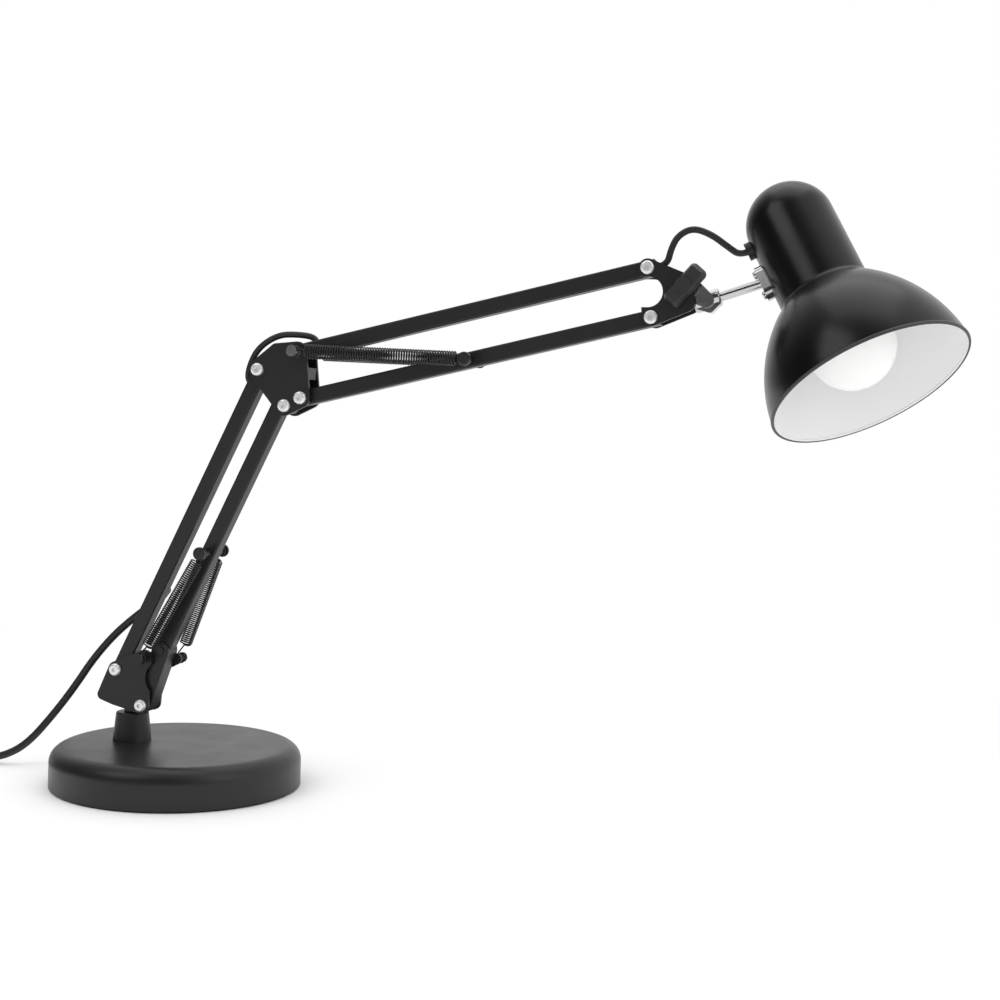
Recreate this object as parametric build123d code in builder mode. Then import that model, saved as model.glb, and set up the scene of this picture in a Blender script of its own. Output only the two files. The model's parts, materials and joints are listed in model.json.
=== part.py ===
from build123d import *
from math import cos, pi, radians, sin, sqrt, tan
import os

os.makedirs("parts", exist_ok=True)

# Balanced-arm desk lamp. Millimetres, +Z up, origin at the centre of the base on the table.
# The arms move in the plane Y = 0 and reach out along +X. Points of that plane are (x, z) pairs.

# Base
BASE_DIAMETER = 180.0
BASE_HEIGHT = 29.5
BASE_EDGE_RADIUS = 11.0
COVER_WALL = 1.6
COVER_LIFT = 1.2
PAD_THICKNESS = 3.0
WEIGHT_GAP = 0.4
WEIGHT_WELL_RADIUS = 18.0

# Swivel
COLLAR_X = -36.5
COLLAR_BOTTOM_DIAMETER = 28.0
COLLAR_TOP_DIAMETER = 23.5
COLLAR_HEIGHT = 21.0
COLLAR_EDGE = 1.2
COLLAR_SCREW_CIRCLE = 9.0
COLLAR_SCREW_DIAMETER = 3.0
COLLAR_SCREW_HEAD = 5.5
COLLAR_SCREW_HEAD_HEIGHT = 2.2
COLLAR_SCREW_DEPTH = 10.0
POST_DIAMETER = 8.0
POST_HEAD_DIAMETER = 10.0
POST_HEAD_HEIGHT = 2.0
POST_TAIL = 9.0
WASHER_THICKNESS = 5.3
WASHER_DIAMETER = 12.0
SWIVEL_NUT_WIDTH = 15.0
SWIVEL_NUT_HEIGHT = 6.0
SWIVEL_NUT_COLLAR = 1.6

# Fits
RUNNING_FIT = 0.05
OPEN_PIVOT_FIT = 0.3
FACE_GAP = 0.1
LOOSE_FIT = 0.2

# Brackets of folded sheet, two plates each
PLATE = 2.0
PLATE_SPACE = 16.0
LOBE_RADIUS = 6.0
BRACKET_FLOOR = 2.0
FOLD_RADIUS = 4.0
ELBOW_LOBE_RADIUS = 7.0
TAIL_REACH = 19.5
TAIL_HEIGHT = 63.0
TOE_REACH = 10.5
TOE_RADIUS = 2.5
BRACKET_BITE = (-8.0, 77.5)
BRACKET_BITE_RADIUS = 13.5
FLOOR_SETBACK = 1.0
BACK_SHOULDER = (-23.0, 80.0)
BACK_TAB_ROOT = (-24.0, 82.0)
BACK_TAB_ROOT_RADIUS = 5.0
BACK_TAB_RADIUS = 4.2

# Screws, nuts and bushes of the pivots
SCREW_DIAMETER = 5.0
SCREW_HEAD_DIAMETER = 9.0
SCREW_HEAD_HEIGHT = 2.8
SCREW_HEAD_DOME = 1.6
SCREW_SOCKET = 3.2
SCREW_SOCKET_DEPTH = 1.2
SCREW_TIP = 0.8
NUT_WIDTH = 8.0
NUT_HEIGHT = 3.0
BUSH_DIAMETER = 7.0

# Arms of square tube
TUBE = 11.0
TUBE_WALL = 1.0
TUBE_CORNER = 1.4
TUBE_OVERHANG = 4.5
LOWER_ARM = 245.0
LOWER_ARM_ANGLE = 64.1
LOWER_PIVOT_SPACING = 32.6
LOWER_PIVOT_ANGLE = -50.0
UPPER_ARM = 253.0
UPPER_ARM_ANGLE = 13.4
UPPER_PIVOT_SPACING = 32.5
UPPER_PIVOT_ANGLE = -84.0
FRONT_TUBE_OFFSET = 6.0
FRONT_TUBE_INSET = 28.0
KNUCKLE_LENGTH = 42.0
KNUCKLE_WALL = 1.2
KNUCKLE_RADIUS = 5.6
KNUCKLE_RIVET = 4.0
KNUCKLE_RIVET_HEAD = 5.8
KNUCKLE_RIVET_HEAD_HEIGHT = 1.0
LUG_RADIUS = 5.6
LUG_PLUG = 30.0

# Pivots of the brackets
LOWER_PIVOT = (-45.5, 82.0)
ELBOW_STEP = (29.5, 13.1)

# Springs and what they hang on
SPRING_DIAMETER = 9.0
SPRING_WIRE = 1.3
SPRING_TURNS = 24
GAP_SAMPLES = 900
COIL_GAP_SAMPLES = 1400
GAP_SKIP = 5
SPRING_Y = 15.0
SPRING_EYE = 7.6
SPRING_END_REACH = 9.0
HOOK_SHANK = 19.0
SPRING_PIN_DIAMETER = 6.0
SPRING_PIN_LENGTH = 41.0
SPRING_PIN_CAP = 9.5
SPRING_PIN_CAP_LENGTH = 3.0
LOWER_PIN_PLACE = 123.5
UPPER_PIN_PLACE = 125.0
FRONT_HOOK = (-22.5, 92.0)
BACK_HOOK = (-6.5, 90.0)
HOOK_POST_DIAMETER = 5.0
HOOK_POST_LENGTH = 9.0
HOOK_POST_CAP = 7.5
HOOK_POST_CAP_LENGTH = 1.5
STUD_DIAMETER = 5.0
STUD_LENGTH = 40.0
STUD_CAP = 8.0
STUD_CAP_LENGTH = 2.0

# Elbow
ELBOW_WEB_X = 97.0
ELBOW_WEB_BOTTOM = 296.3
ELBOW_WEB_TOP = 304.5
ELBOW_CORNER = (75.0, 317.0)
ELBOW_CORNER_RADIUS = 4.0

# Head bracket and its clamp
CLAMP = (362.7, 362.1)
HEAD_PLATE_TOP = (361.5, 365.5)
HEAD_PLATE_LOW = (364.0, 350.5)
HEAD_PLATE_CORNER = 5.0
HEAD_NOTCH = (337.8, 358.3)
HEAD_NOTCH_RADIUS = 10.0
CLAMP_BOLT_DIAMETER = 6.0
CLAMP_BOLT_HEAD = 14.0
CLAMP_BOLT_HEAD_HEIGHT = 3.0
CLAMP_BOLT_THREAD = 7.5
CLAMP_WASHER_DIAMETER = 16.0
KNOB_LENGTH = 31.0
KNOB_WIDTH = 13.0
KNOB_CORNER = 3.5
KNOB_FOOT = 2.5
KNOB_THICKNESS = 8.5
KNOB_TAPER = 16.0
KNOB_HUB = 10.5
KNOB_HUB_HEIGHT = 11.8
KNOB_ANGLE = 49.0
KNOB_EDGE = 1.0

# Joint of the head and its stem
TONGUE_THICKNESS = 12.0
TONGUE_RADIUS = 8.0
TONGUE_FOOT = 5.0
BARREL_END = (384.5, 356.3)
BARREL_DIAMETER = 12.0
BARREL_LENGTH = 18.0
BARREL_EDGE = 1.5
FOOT_TOE = (-2.5, -3.0)
FOOT_BOTTOM = (-8.5, -6.2)
FOOT_HEEL = (-15.0, -2.0)
FOOT_ROUND = 2.4
FOOT_THICKNESS = 10.0
STEM_RISE = 18.0
STEM_DIAMETER = 6.5
STEM_ENGAGED = 14.0
STEM_TO_AXIS = 60.7
STEM_INSIDE = 7.0
STEM_NUT_WIDTH = 10.0
STEM_NUT_HEIGHT = 3.0

# Lamp head: a bell-shaped shade about an axis that leans forwards and to the side
HEAD_TILT = 28.6
HEAD_ROLL = -19.6
SHADE_WALL = 1.2
RIM_BEAD = 1.1
SHADE_NECK_DIAMETER = 58.0
SHADE_DOME_START = -34.2
SHADE_RIM_PLACE = 90.6
SHADE_BELL_RADIUS = 99.5
SHADE_BELL_CENTRE = (-33.9, 99.2)
SHADE_NECK_FILLET = 4.0
SADDLE_LENGTH = 25.0
SADDLE_WIDTH = 12.0
SADDLE_HEIGHT = 4.5
SADDLE_SCREW_SPACING = 16.0
SADDLE_SCREW_DIAMETER = 3.0
SADDLE_SCREW_HEAD = 5.6
SADDLE_SCREW_HEAD_HEIGHT = 2.0
SADDLE_SCREW_REACH = 3.5
FACING_SHARE = 0.9
HOLDER_DIAMETER = 39.0
HOLDER_TOP = -18.0
HOLDER_MOUTH = 28.0
HOLDER_EDGE = 2.5
HOLDER_RING_PLACE = 6.0
HOLDER_RING_HEIGHT = 4.0
BULB_CAP_DIAMETER = 26.0
BULB_CAP_LENGTH = 24.0
BULB_DIAMETER = 56.0
BULB_CENTRE = 61.5
BULB_NECK_DIAMETER = 27.0
BULB_WALL = 0.8
GROMMET_PLACE = -31.0
GROMMET_DIAMETER = 9.0
GROMMET_FLANGE = 12.0
GROMMET_FLANGE_HEIGHT = 3.5

# Leads and cord
LEAD_DIAMETER = 4.4
LEAD_EXIT = 6.0
ELBOW_LEAD_PLACE = 12.0
ELBOW_LEAD_ROUTE = [(50.5, 309.0), (59.5, 320.5), (73.5, 327.5), (88.5, 329.0)]
HEAD_LEAD_ROUTE = [
    (348.5, 0.0, 377.0),
    (350.5, 0.0, 387.0),
    (354.5, 1.0, 396.0),
    (363.0, 3.0, 401.0),
    (374.0, 6.0, 397.0),
    (385.0, 9.0, 388.0),
]
ROUND_SHARE = 0.45
CORD_DIAMETER = 5.6
CORD_EXIT_PLACE = 65.0
CORD_EXIT_RUN = 9.5
CORD_GRIP = 6.0
CORD_ROUTE = [
    (-26.0, 22.0, 133.0),
    (-45.0, 23.5, 120.0),
    (-65.0, 22.5, 103.0),
    (-82.0, 21.0, 83.0),
    (-96.0, 20.0, 62.0),
    (-111.0, 17.0, 41.0),
    (-130.0, 10.0, 16.5),
    (-147.0, 4.0, 6.5),
]
CORD_GROMMET_DIAMETER = 8.0
CORD_GROMMET_FLANGE = 9.6
CORD_GROMMET_REACH = 5.0
CORD_GROMMET_TAPER = 6.0
COIL_TURNS_PER_LAYER = 3.5
COIL_OUTER_RADIUS = 42.0
COIL_STEP = 6.6
COIL_CENTRE_X = -268.0
TIE_WIDTH = 5.0
TIE_THICKNESS = 0.8
TIE_GAP = 0.3
TIE_CORNER = 2.0
SWITCH_LENGTH = 58.0
SWITCH_WIDTH = 23.0
SWITCH_HEIGHT = 16.0
SWITCH_EDGE = 5.0
SWITCH_END_X = -172.0
SWITCH_Y = 3.0
SWITCH_CORD_HEIGHT = 5.0
SWITCH_TOP_EDGE = 2.0
ROCKER_LENGTH = 17.0
ROCKER_WIDTH = 10.0
ROCKER_DEPTH = 7.0
ROCKER_PROUD = 2.0
ROCKER_GAP = 0.6
ROCKER_AXLE = 3.0
ROCKER_AXLE_LENGTH = 16.0
PLUG_LENGTH = 36.0
PLUG_WIDTH = 24.0
PLUG_X = -228.0
PLUG_PIN_SOCKET = 8.0
PLUG_EDGE = 4.0
PLUG_PIN_DIAMETER = 4.0
PLUG_PIN_LENGTH = 19.0
PLUG_PIN_SPACING = 17.6


def stepped(start, length, angle):
    """Point of the arm plane at a length and an angle from another."""
    return (start[0] + length * cos(radians(angle)), start[1] + length * sin(radians(angle)))


def beside(point, distance, angle):
    """Point at a distance to the left of a line of the arm plane that runs at an angle."""
    return stepped(point, distance, angle + 90)


def at_y(y):
    """Plane that faces the viewer, at a depth y."""
    return Plane.XZ.offset(-y)


def in_space(point, y=0.0):
    """Point of the arm plane as a point of space."""
    return Vector(point[0], y, point[1])


def keep(piece, name):
    """Name a finished sub-part and write it."""
    piece.part.label = name
    export_step(piece.part, f"parts/{name}.step")


# Places that follow from the sizes
PLATE_INNER = PLATE_SPACE / 2
PLATE_OUTER = PLATE_INNER + PLATE
BUSH_HALF = PLATE_INNER - FACE_GAP
LOWER_FRONT_PIVOT = stepped(LOWER_PIVOT, LOWER_PIVOT_SPACING, LOWER_PIVOT_ANGLE)
ELBOW_REAR = stepped(LOWER_PIVOT, LOWER_ARM, LOWER_ARM_ANGLE)
ELBOW_FRONT = stepped(LOWER_FRONT_PIVOT, LOWER_ARM, LOWER_ARM_ANGLE)
ELBOW_TOP = (ELBOW_REAR[0] + ELBOW_STEP[0], ELBOW_REAR[1] + ELBOW_STEP[1])
ELBOW_BOTTOM = stepped(ELBOW_TOP, UPPER_PIVOT_SPACING, UPPER_PIVOT_ANGLE)
HEAD_UPPER = stepped(ELBOW_TOP, UPPER_ARM, UPPER_ARM_ANGLE)
HEAD_LOWER = stepped(ELBOW_BOTTOM, UPPER_ARM, UPPER_ARM_ANGLE)
FRONT_AXIS_START = beside(LOWER_FRONT_PIVOT, FRONT_TUBE_OFFSET, LOWER_ARM_ANGLE)
LOWER_PIN = stepped(FRONT_AXIS_START, LOWER_PIN_PLACE, LOWER_ARM_ANGLE)
UPPER_PIN = stepped(ELBOW_BOTTOM, UPPER_PIN_PLACE, UPPER_ARM_ANGLE)
CORD_EXIT = stepped(LOWER_PIVOT, CORD_EXIT_PLACE, LOWER_ARM_ANGLE)
COLLAR_TOP = BASE_HEIGHT + COLLAR_HEIGHT
BRACKET_BOTTOM = COLLAR_TOP + WASHER_THICKNESS + 2 * FACE_GAP
COVER_UNDERSIDE = BASE_HEIGHT - COVER_WALL
STEM_DIRECTION = Vector(cos(radians(STEM_RISE)), 0, sin(radians(STEM_RISE)))
HEAD_AXIS = Vector(
    sin(radians(HEAD_TILT)) * cos(radians(HEAD_ROLL)),
    sin(radians(HEAD_ROLL)),
    -cos(radians(HEAD_TILT)) * cos(radians(HEAD_ROLL)),
)
HEAD_CENTRE = in_space(BARREL_END) + STEM_DIRECTION * STEM_TO_AXIS
HEAD_OUTWARD = (STEM_DIRECTION - HEAD_AXIS * STEM_DIRECTION.dot(HEAD_AXIS)).normalized()
NECK_RADIUS = SHADE_NECK_DIAMETER / 2


def bell_radius(place, inset):
    """Radius of the bell at a place along the head's axis, a distance inside its outer skin."""
    reach = sqrt((SHADE_BELL_RADIUS - inset) ** 2 - (SHADE_BELL_CENTRE[1] - place) ** 2)
    return SHADE_BELL_CENTRE[0] + reach


RIM_RADIUS = bell_radius(SHADE_RIM_PLACE, 0)


def head_plane(place):
    """Plane square to the axis of the lamp head, at a place along it."""
    return Plane(origin=HEAD_CENTRE + HEAD_AXIS * place, x_dir=HEAD_OUTWARD, z_dir=HEAD_AXIS)


def head_section():
    """Plane through the axis of the head: x is the radius, y the place along the axis."""
    return Plane(origin=HEAD_CENTRE, x_dir=HEAD_OUTWARD, z_dir=HEAD_OUTWARD.cross(HEAD_AXIS))


def neck_plane(place, radius):
    """Plane that faces the arms, beside the neck of the shade."""
    centre = HEAD_CENTRE + HEAD_AXIS * place - HEAD_OUTWARD * radius
    return Plane(origin=centre, x_dir=HEAD_AXIS, z_dir=-HEAD_OUTWARD)


def lobed(places):
    """Outline pulled round circles, given as (point, radius) pairs, in the sketch being built."""
    with BuildSketch(mode=Mode.PRIVATE) as lobes:
        for point, radius in places:
            with Locations(point):
                Circle(radius)
        make_hull()
    add(lobes.sketch)


# Base: pressed cover, cast weight, soft pad and collar
with BuildPart() as base_cover:
    with BuildSketch(Plane.XY.offset(COVER_LIFT)):
        Circle(BASE_DIAMETER / 2)
    extrude(amount=BASE_HEIGHT - COVER_LIFT)
    fillet(base_cover.faces().sort_by(Axis.Z)[-1].edges(), BASE_EDGE_RADIUS)
    offset(amount=-COVER_WALL, openings=base_cover.faces().sort_by(Axis.Z)[0])
    with BuildSketch(Plane.XY.offset(BASE_HEIGHT)):
        with Locations((COLLAR_X, 0)):
            Circle(POST_DIAMETER / 2 + LOOSE_FIT)
            with PolarLocations(COLLAR_SCREW_CIRCLE, 2, start_angle=90):
                Circle(COLLAR_SCREW_DIAMETER / 2 + RUNNING_FIT)
    extrude(amount=-2 * COVER_WALL, mode=Mode.SUBTRACT)
keep(base_cover, "base_cover")

with BuildPart() as base_weight:
    with BuildSketch(Plane.XY.offset(PAD_THICKNESS)):
        Circle(BASE_DIAMETER / 2 - COVER_WALL - WEIGHT_GAP)
    extrude(amount=COVER_UNDERSIDE - PAD_THICKNESS)
    chamfer(base_weight.faces().sort_by(Axis.Z)[-1].edges(), BASE_EDGE_RADIUS)
    with BuildSketch(Plane.XY.offset(PAD_THICKNESS)):
        with Locations((COLLAR_X, 0)):
            Circle(WEIGHT_WELL_RADIUS)
    extrude(amount=BASE_HEIGHT, mode=Mode.SUBTRACT)
keep(base_weight, "base_weight")

with BuildPart() as base_pad:
    with BuildSketch(Plane.XY):
        Circle(BASE_DIAMETER / 2 - COVER_WALL - WEIGHT_GAP)
    extrude(amount=PAD_THICKNESS)
keep(base_pad, "base_pad")

with BuildPart() as base_collar:
    with Locations((COLLAR_X, 0, BASE_HEIGHT)):
        Cone(
            COLLAR_BOTTOM_DIAMETER / 2,
            COLLAR_TOP_DIAMETER / 2,
            COLLAR_HEIGHT,
            align=(Align.CENTER, Align.CENTER, Align.MIN),
        )
    fillet(base_collar.faces().sort_by(Axis.Z)[-1].edges(), COLLAR_EDGE)
    with BuildSketch(Plane.XY.offset(COLLAR_TOP)):
        with Locations((COLLAR_X, 0)):
            Circle(POST_DIAMETER / 2 + RUNNING_FIT)
    extrude(amount=-COLLAR_HEIGHT, mode=Mode.SUBTRACT)
    with BuildSketch(Plane.XY.offset(BASE_HEIGHT)):
        with Locations((COLLAR_X, 0)):
            with PolarLocations(COLLAR_SCREW_CIRCLE, 2, start_angle=90):
                Circle(COLLAR_SCREW_DIAMETER / 2 + RUNNING_FIT)
    extrude(amount=COLLAR_SCREW_DEPTH + LOOSE_FIT, mode=Mode.SUBTRACT)
keep(base_collar, "base_collar")

with BuildPart() as collar_screws:
    with BuildSketch(Plane.XY.offset(COVER_UNDERSIDE)):
        with Locations((COLLAR_X, 0)):
            with PolarLocations(COLLAR_SCREW_CIRCLE, 2, start_angle=90):
                Circle(COLLAR_SCREW_HEAD / 2)
    extrude(amount=-COLLAR_SCREW_HEAD_HEIGHT)
    with BuildSketch(Plane.XY.offset(COVER_UNDERSIDE)):
        with Locations((COLLAR_X, 0)):
            with PolarLocations(COLLAR_SCREW_CIRCLE, 2, start_angle=90):
                Circle(COLLAR_SCREW_DIAMETER / 2)
    extrude(amount=COVER_WALL + COLLAR_SCREW_DEPTH)
keep(collar_screws, "collar_screws")

# Swivel: the post turns in the collar and carries the lower bracket
with BuildPart() as swivel_post:
    with BuildSketch(Plane.XY.offset(COVER_UNDERSIDE - POST_TAIL)):
        with Locations((COLLAR_X, 0)):
            Circle(POST_DIAMETER / 2)
    extrude(amount=POST_TAIL + BRACKET_BOTTOM + BRACKET_FLOOR - COVER_UNDERSIDE)
    with BuildSketch(Plane.XY.offset(BRACKET_BOTTOM + BRACKET_FLOOR)):
        with Locations((COLLAR_X, 0)):
            Circle(POST_HEAD_DIAMETER / 2)
    extrude(amount=POST_HEAD_HEIGHT)
keep(swivel_post, "swivel_post")

with BuildPart() as swivel_washer:
    with BuildSketch(Plane.XY.offset(BRACKET_BOTTOM - FACE_GAP)):
        with Locations((COLLAR_X, 0)):
            Circle(WASHER_DIAMETER / 2)
            Circle(POST_DIAMETER / 2 + RUNNING_FIT, mode=Mode.SUBTRACT)
    extrude(amount=-WASHER_THICKNESS)
keep(swivel_washer, "swivel_washer")

with BuildPart() as swivel_nut:
    with BuildSketch(Plane.XY.offset(COVER_UNDERSIDE - COLLAR_SCREW_HEAD_HEIGHT - FACE_GAP)):
        with Locations((COLLAR_X, 0)):
            RegularPolygon(SWIVEL_NUT_WIDTH / 2, 6, major_radius=False)
            Circle(POST_DIAMETER / 2 + RUNNING_FIT, mode=Mode.SUBTRACT)
    extrude(amount=-SWIVEL_NUT_HEIGHT)
    with BuildSketch(Plane.XY.offset(COVER_UNDERSIDE - FACE_GAP)):
        with Locations((COLLAR_X, 0)):
            Circle(POST_DIAMETER / 2 + SWIVEL_NUT_COLLAR)
            Circle(POST_DIAMETER / 2 + RUNNING_FIT, mode=Mode.SUBTRACT)
    extrude(amount=-COLLAR_SCREW_HEAD_HEIGHT)
keep(swivel_nut, "swivel_nut")

# Lower bracket: two plates over a folded floor, with posts for the lower springs
BRACKET_TAIL = (COLLAR_X - TAIL_REACH, TAIL_HEIGHT)
BRACKET_TOE = (COLLAR_X - TOE_REACH, BRACKET_BOTTOM + TOE_RADIUS)
BRACKET_FLOOR_END = LOWER_FRONT_PIVOT[0] - KNUCKLE_RADIUS - FLOOR_SETBACK
with BuildPart() as lower_bracket:
    plate_lobes = [
        (LOWER_PIVOT, LOBE_RADIUS),
        (BRACKET_TAIL, FOLD_RADIUS),
        (BRACKET_TOE, TOE_RADIUS),
        (LOWER_FRONT_PIVOT, LOBE_RADIUS),
    ]
    with BuildSketch(at_y(-PLATE_INNER)):
        lobed(plate_lobes + [(FRONT_HOOK, LOBE_RADIUS)])
        with Locations(BRACKET_BITE):
            Circle(BRACKET_BITE_RADIUS, mode=Mode.SUBTRACT)
        with Locations(LOWER_PIVOT, LOWER_FRONT_PIVOT):
            Circle(SCREW_DIAMETER / 2 + RUNNING_FIT, mode=Mode.SUBTRACT)
    extrude(amount=PLATE)
    with BuildSketch(at_y(PLATE_OUTER)):
        lobed(plate_lobes + [(BACK_SHOULDER, LOBE_RADIUS)])
        lobed([(BACK_TAB_ROOT, BACK_TAB_ROOT_RADIUS), (BACK_HOOK, BACK_TAB_RADIUS)])
        with Locations(LOWER_PIVOT, LOWER_FRONT_PIVOT):
            Circle(SCREW_DIAMETER / 2 + RUNNING_FIT, mode=Mode.SUBTRACT)
    extrude(amount=PLATE)
    with BuildSketch(Plane.XY.offset(BRACKET_BOTTOM)):
        with Locations(((BRACKET_TOE[0] + BRACKET_FLOOR_END) / 2, 0)):
            Rectangle(BRACKET_FLOOR_END - BRACKET_TOE[0], PLATE_SPACE)
        with Locations((COLLAR_X, 0)):
            Circle(POST_DIAMETER / 2 + RUNNING_FIT, mode=Mode.SUBTRACT)
    extrude(amount=BRACKET_FLOOR)
    for hook, side in ((FRONT_HOOK, -1), (BACK_HOOK, 1)):
        with BuildSketch(at_y(side * PLATE_OUTER)):
            with Locations(hook):
                Circle(HOOK_POST_DIAMETER / 2)
        extrude(amount=-side * HOOK_POST_LENGTH)
        with BuildSketch(at_y(side * (PLATE_OUTER + HOOK_POST_LENGTH))):
            with Locations(hook):
                Circle(HOOK_POST_CAP / 2)
        extrude(amount=side * HOOK_POST_CAP_LENGTH)
keep(lower_bracket, "lower_bracket")


def pivot_screws(points):
    """Domed screws through both plates at the points, heads to the viewer, as separate solids."""
    with BuildPart() as screws:
        with BuildSketch(at_y(-PLATE_OUTER)):
            with Locations(*points):
                Circle(SCREW_HEAD_DIAMETER / 2)
        extrude(amount=SCREW_HEAD_HEIGHT)
        fillet(screws.faces().filter_by(Axis.Y).group_by(Axis.Y)[0].edges(), SCREW_HEAD_DOME)
        with BuildSketch(at_y(-PLATE_OUTER - SCREW_HEAD_HEIGHT)):
            with Locations(*points):
                RegularPolygon(SCREW_SOCKET / 2, 6, major_radius=False)
        extrude(amount=-SCREW_SOCKET_DEPTH, mode=Mode.SUBTRACT)
        with BuildSketch(at_y(-PLATE_OUTER)):
            with Locations(*points):
                Circle(SCREW_DIAMETER / 2)
        extrude(amount=-2 * PLATE_OUTER - NUT_HEIGHT - SCREW_TIP)
    return screws


def pivot_nuts(points):
    """Hexagon nuts behind the back plate at the points, as separate solids."""
    with BuildPart() as nuts:
        with BuildSketch(at_y(PLATE_OUTER)):
            with Locations(*points):
                RegularPolygon(NUT_WIDTH / 2, 6, major_radius=False)
            with Locations(*points):
                Circle(SCREW_DIAMETER / 2 + RUNNING_FIT, mode=Mode.SUBTRACT)
        extrude(amount=-NUT_HEIGHT)
    return nuts


def pivot_bushes(points, fits):
    """Bushes that fill the space between the plates and turn on the screws, as separate solids."""
    with BuildPart() as bushes:
        with BuildSketch(Plane.XZ):
            for point, fit in zip(points, fits):
                with Locations(point):
                    Circle(BUSH_DIAMETER / 2)
                    Circle(SCREW_DIAMETER / 2 + fit, mode=Mode.SUBTRACT)
        extrude(amount=BUSH_HALF, both=True)
    return bushes


def square_tube(start, angle, length, cross_holes, wall_holes):
    """Hollow square tube in the arm plane.

    Drilled across at (point, radius) pairs, and through one wall at (point, normal, radius) triples.
    """
    direction = Vector(cos(radians(angle)), 0, sin(radians(angle)))
    with BuildPart() as tube:
        with BuildSketch(Plane(origin=in_space(start), x_dir=(0, 1, 0), z_dir=direction)):
            RectangleRounded(TUBE, TUBE, TUBE_CORNER)
            Rectangle(TUBE - 2 * TUBE_WALL, TUBE - 2 * TUBE_WALL, mode=Mode.SUBTRACT)
        extrude(amount=length)
        with BuildSketch(Plane.XZ):
            for point, radius in cross_holes:
                with Locations(point):
                    Circle(radius)
        extrude(amount=TUBE, both=True, mode=Mode.SUBTRACT)
        for point, normal, radius in wall_holes:
            with BuildSketch(Plane(origin=in_space(point), z_dir=normal)):
                Circle(radius)
            extrude(amount=TUBE, mode=Mode.SUBTRACT)
    return tube


# Pivots of the lower bracket
lower_pivots = [LOWER_PIVOT, LOWER_FRONT_PIVOT]
keep(pivot_screws(lower_pivots), "lower_pivot_screws")
keep(pivot_nuts(lower_pivots), "lower_pivot_nuts")

# Rear lower arm: carries the cord inside and lets it out near the bottom and at the elbow
BUSH_HOLE = BUSH_DIAMETER / 2 + RUNNING_FIT
LOWER_NORMAL = Vector(-sin(radians(LOWER_ARM_ANGLE)), 0, cos(radians(LOWER_ARM_ANGLE)))
UPPER_NORMAL = Vector(-sin(radians(UPPER_ARM_ANGLE)), 0, cos(radians(UPPER_ARM_ANGLE)))
ELBOW_LEAD_START = stepped(ELBOW_REAR, -ELBOW_LEAD_PLACE, LOWER_ARM_ANGLE)
ELBOW_LEAD_END = stepped(ELBOW_TOP, ELBOW_LEAD_PLACE, UPPER_ARM_ANGLE)
lower_rear_tube = square_tube(
    stepped(LOWER_PIVOT, -TUBE_OVERHANG, LOWER_ARM_ANGLE),
    LOWER_ARM_ANGLE,
    LOWER_ARM + 2 * TUBE_OVERHANG,
    [(LOWER_PIVOT, BUSH_HOLE), (ELBOW_REAR, BUSH_HOLE)],
    [
        (CORD_EXIT, Vector(0, 1, 0), CORD_GROMMET_DIAMETER / 2 + RUNNING_FIT),
        (ELBOW_LEAD_START, LOWER_NORMAL, LEAD_DIAMETER / 2 + LOOSE_FIT),
    ],
)
keep(lower_rear_tube, "lower_rear_tube")
keep(pivot_bushes([LOWER_PIVOT, ELBOW_REAR], [RUNNING_FIT, RUNNING_FIT]), "lower_rear_bushes")

with BuildPart() as cord_exit_grommet:
    with BuildSketch(at_y(TUBE / 2 - TUBE_WALL)):
        with Locations(CORD_EXIT):
            Circle(CORD_GROMMET_DIAMETER / 2)
    extrude(amount=-TUBE_WALL)
    with BuildSketch(at_y(TUBE / 2)):
        with Locations(CORD_EXIT):
            Circle(CORD_GROMMET_FLANGE / 2)
    extrude(amount=-CORD_GROMMET_REACH, taper=CORD_GROMMET_TAPER)
    with BuildSketch(Plane.XZ):
        with Locations(CORD_EXIT):
            Circle(CORD_DIAMETER / 2 + RUNNING_FIT)
    extrude(amount=-TUBE - CORD_GROMMET_REACH, mode=Mode.SUBTRACT)
keep(cord_exit_grommet, "cord_exit_grommet")

# Front lower arm: a tube beside the line of its pivots, on a folded knuckle below and a plugged lug above
front_tube_start = stepped(FRONT_AXIS_START, FRONT_TUBE_INSET, LOWER_ARM_ANGLE)
knuckle_nose = stepped(FRONT_AXIS_START, KNUCKLE_LENGTH, LOWER_ARM_ANGLE)
lower_front_tube = square_tube(
    front_tube_start,
    LOWER_ARM_ANGLE,
    LOWER_ARM - FRONT_TUBE_INSET,
    [
        (LOWER_PIN, SPRING_PIN_DIAMETER / 2 + RUNNING_FIT),
        (knuckle_nose, KNUCKLE_RIVET / 2 + RUNNING_FIT),
        (ELBOW_FRONT, LUG_RADIUS + FACE_GAP),
    ],
    [],
)
keep(lower_front_tube, "lower_front_tube")

with BuildPart() as front_tube_knuckle:
    half_inside = TUBE / 2 + RUNNING_FIT
    with BuildSketch(Plane.XZ):
        lobed([(LOWER_FRONT_PIVOT, KNUCKLE_RADIUS), (knuckle_nose, half_inside + KNUCKLE_WALL)])
    extrude(amount=half_inside + KNUCKLE_WALL, both=True)
    hollow = [(LOWER_FRONT_PIVOT, KNUCKLE_RADIUS - KNUCKLE_WALL), (knuckle_nose, half_inside)]
    away = [(beside(point, TUBE, LOWER_ARM_ANGLE), radius) for point, radius in hollow]
    with BuildSketch(Plane.XZ):
        lobed(hollow + away)
        mouth = stepped(knuckle_nose, TUBE / 2, LOWER_ARM_ANGLE)
        with Locations(Location((*mouth, 0), (0, 0, LOWER_ARM_ANGLE))):
            Rectangle(TUBE, 2 * half_inside)
    extrude(amount=half_inside, both=True, mode=Mode.SUBTRACT)
    with BuildSketch(Plane.XZ):
        with Locations(LOWER_FRONT_PIVOT):
            Circle(BUSH_HOLE)
        with Locations(knuckle_nose):
            Circle(KNUCKLE_RIVET / 2 + RUNNING_FIT)
    extrude(amount=TUBE, both=True, mode=Mode.SUBTRACT)
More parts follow.
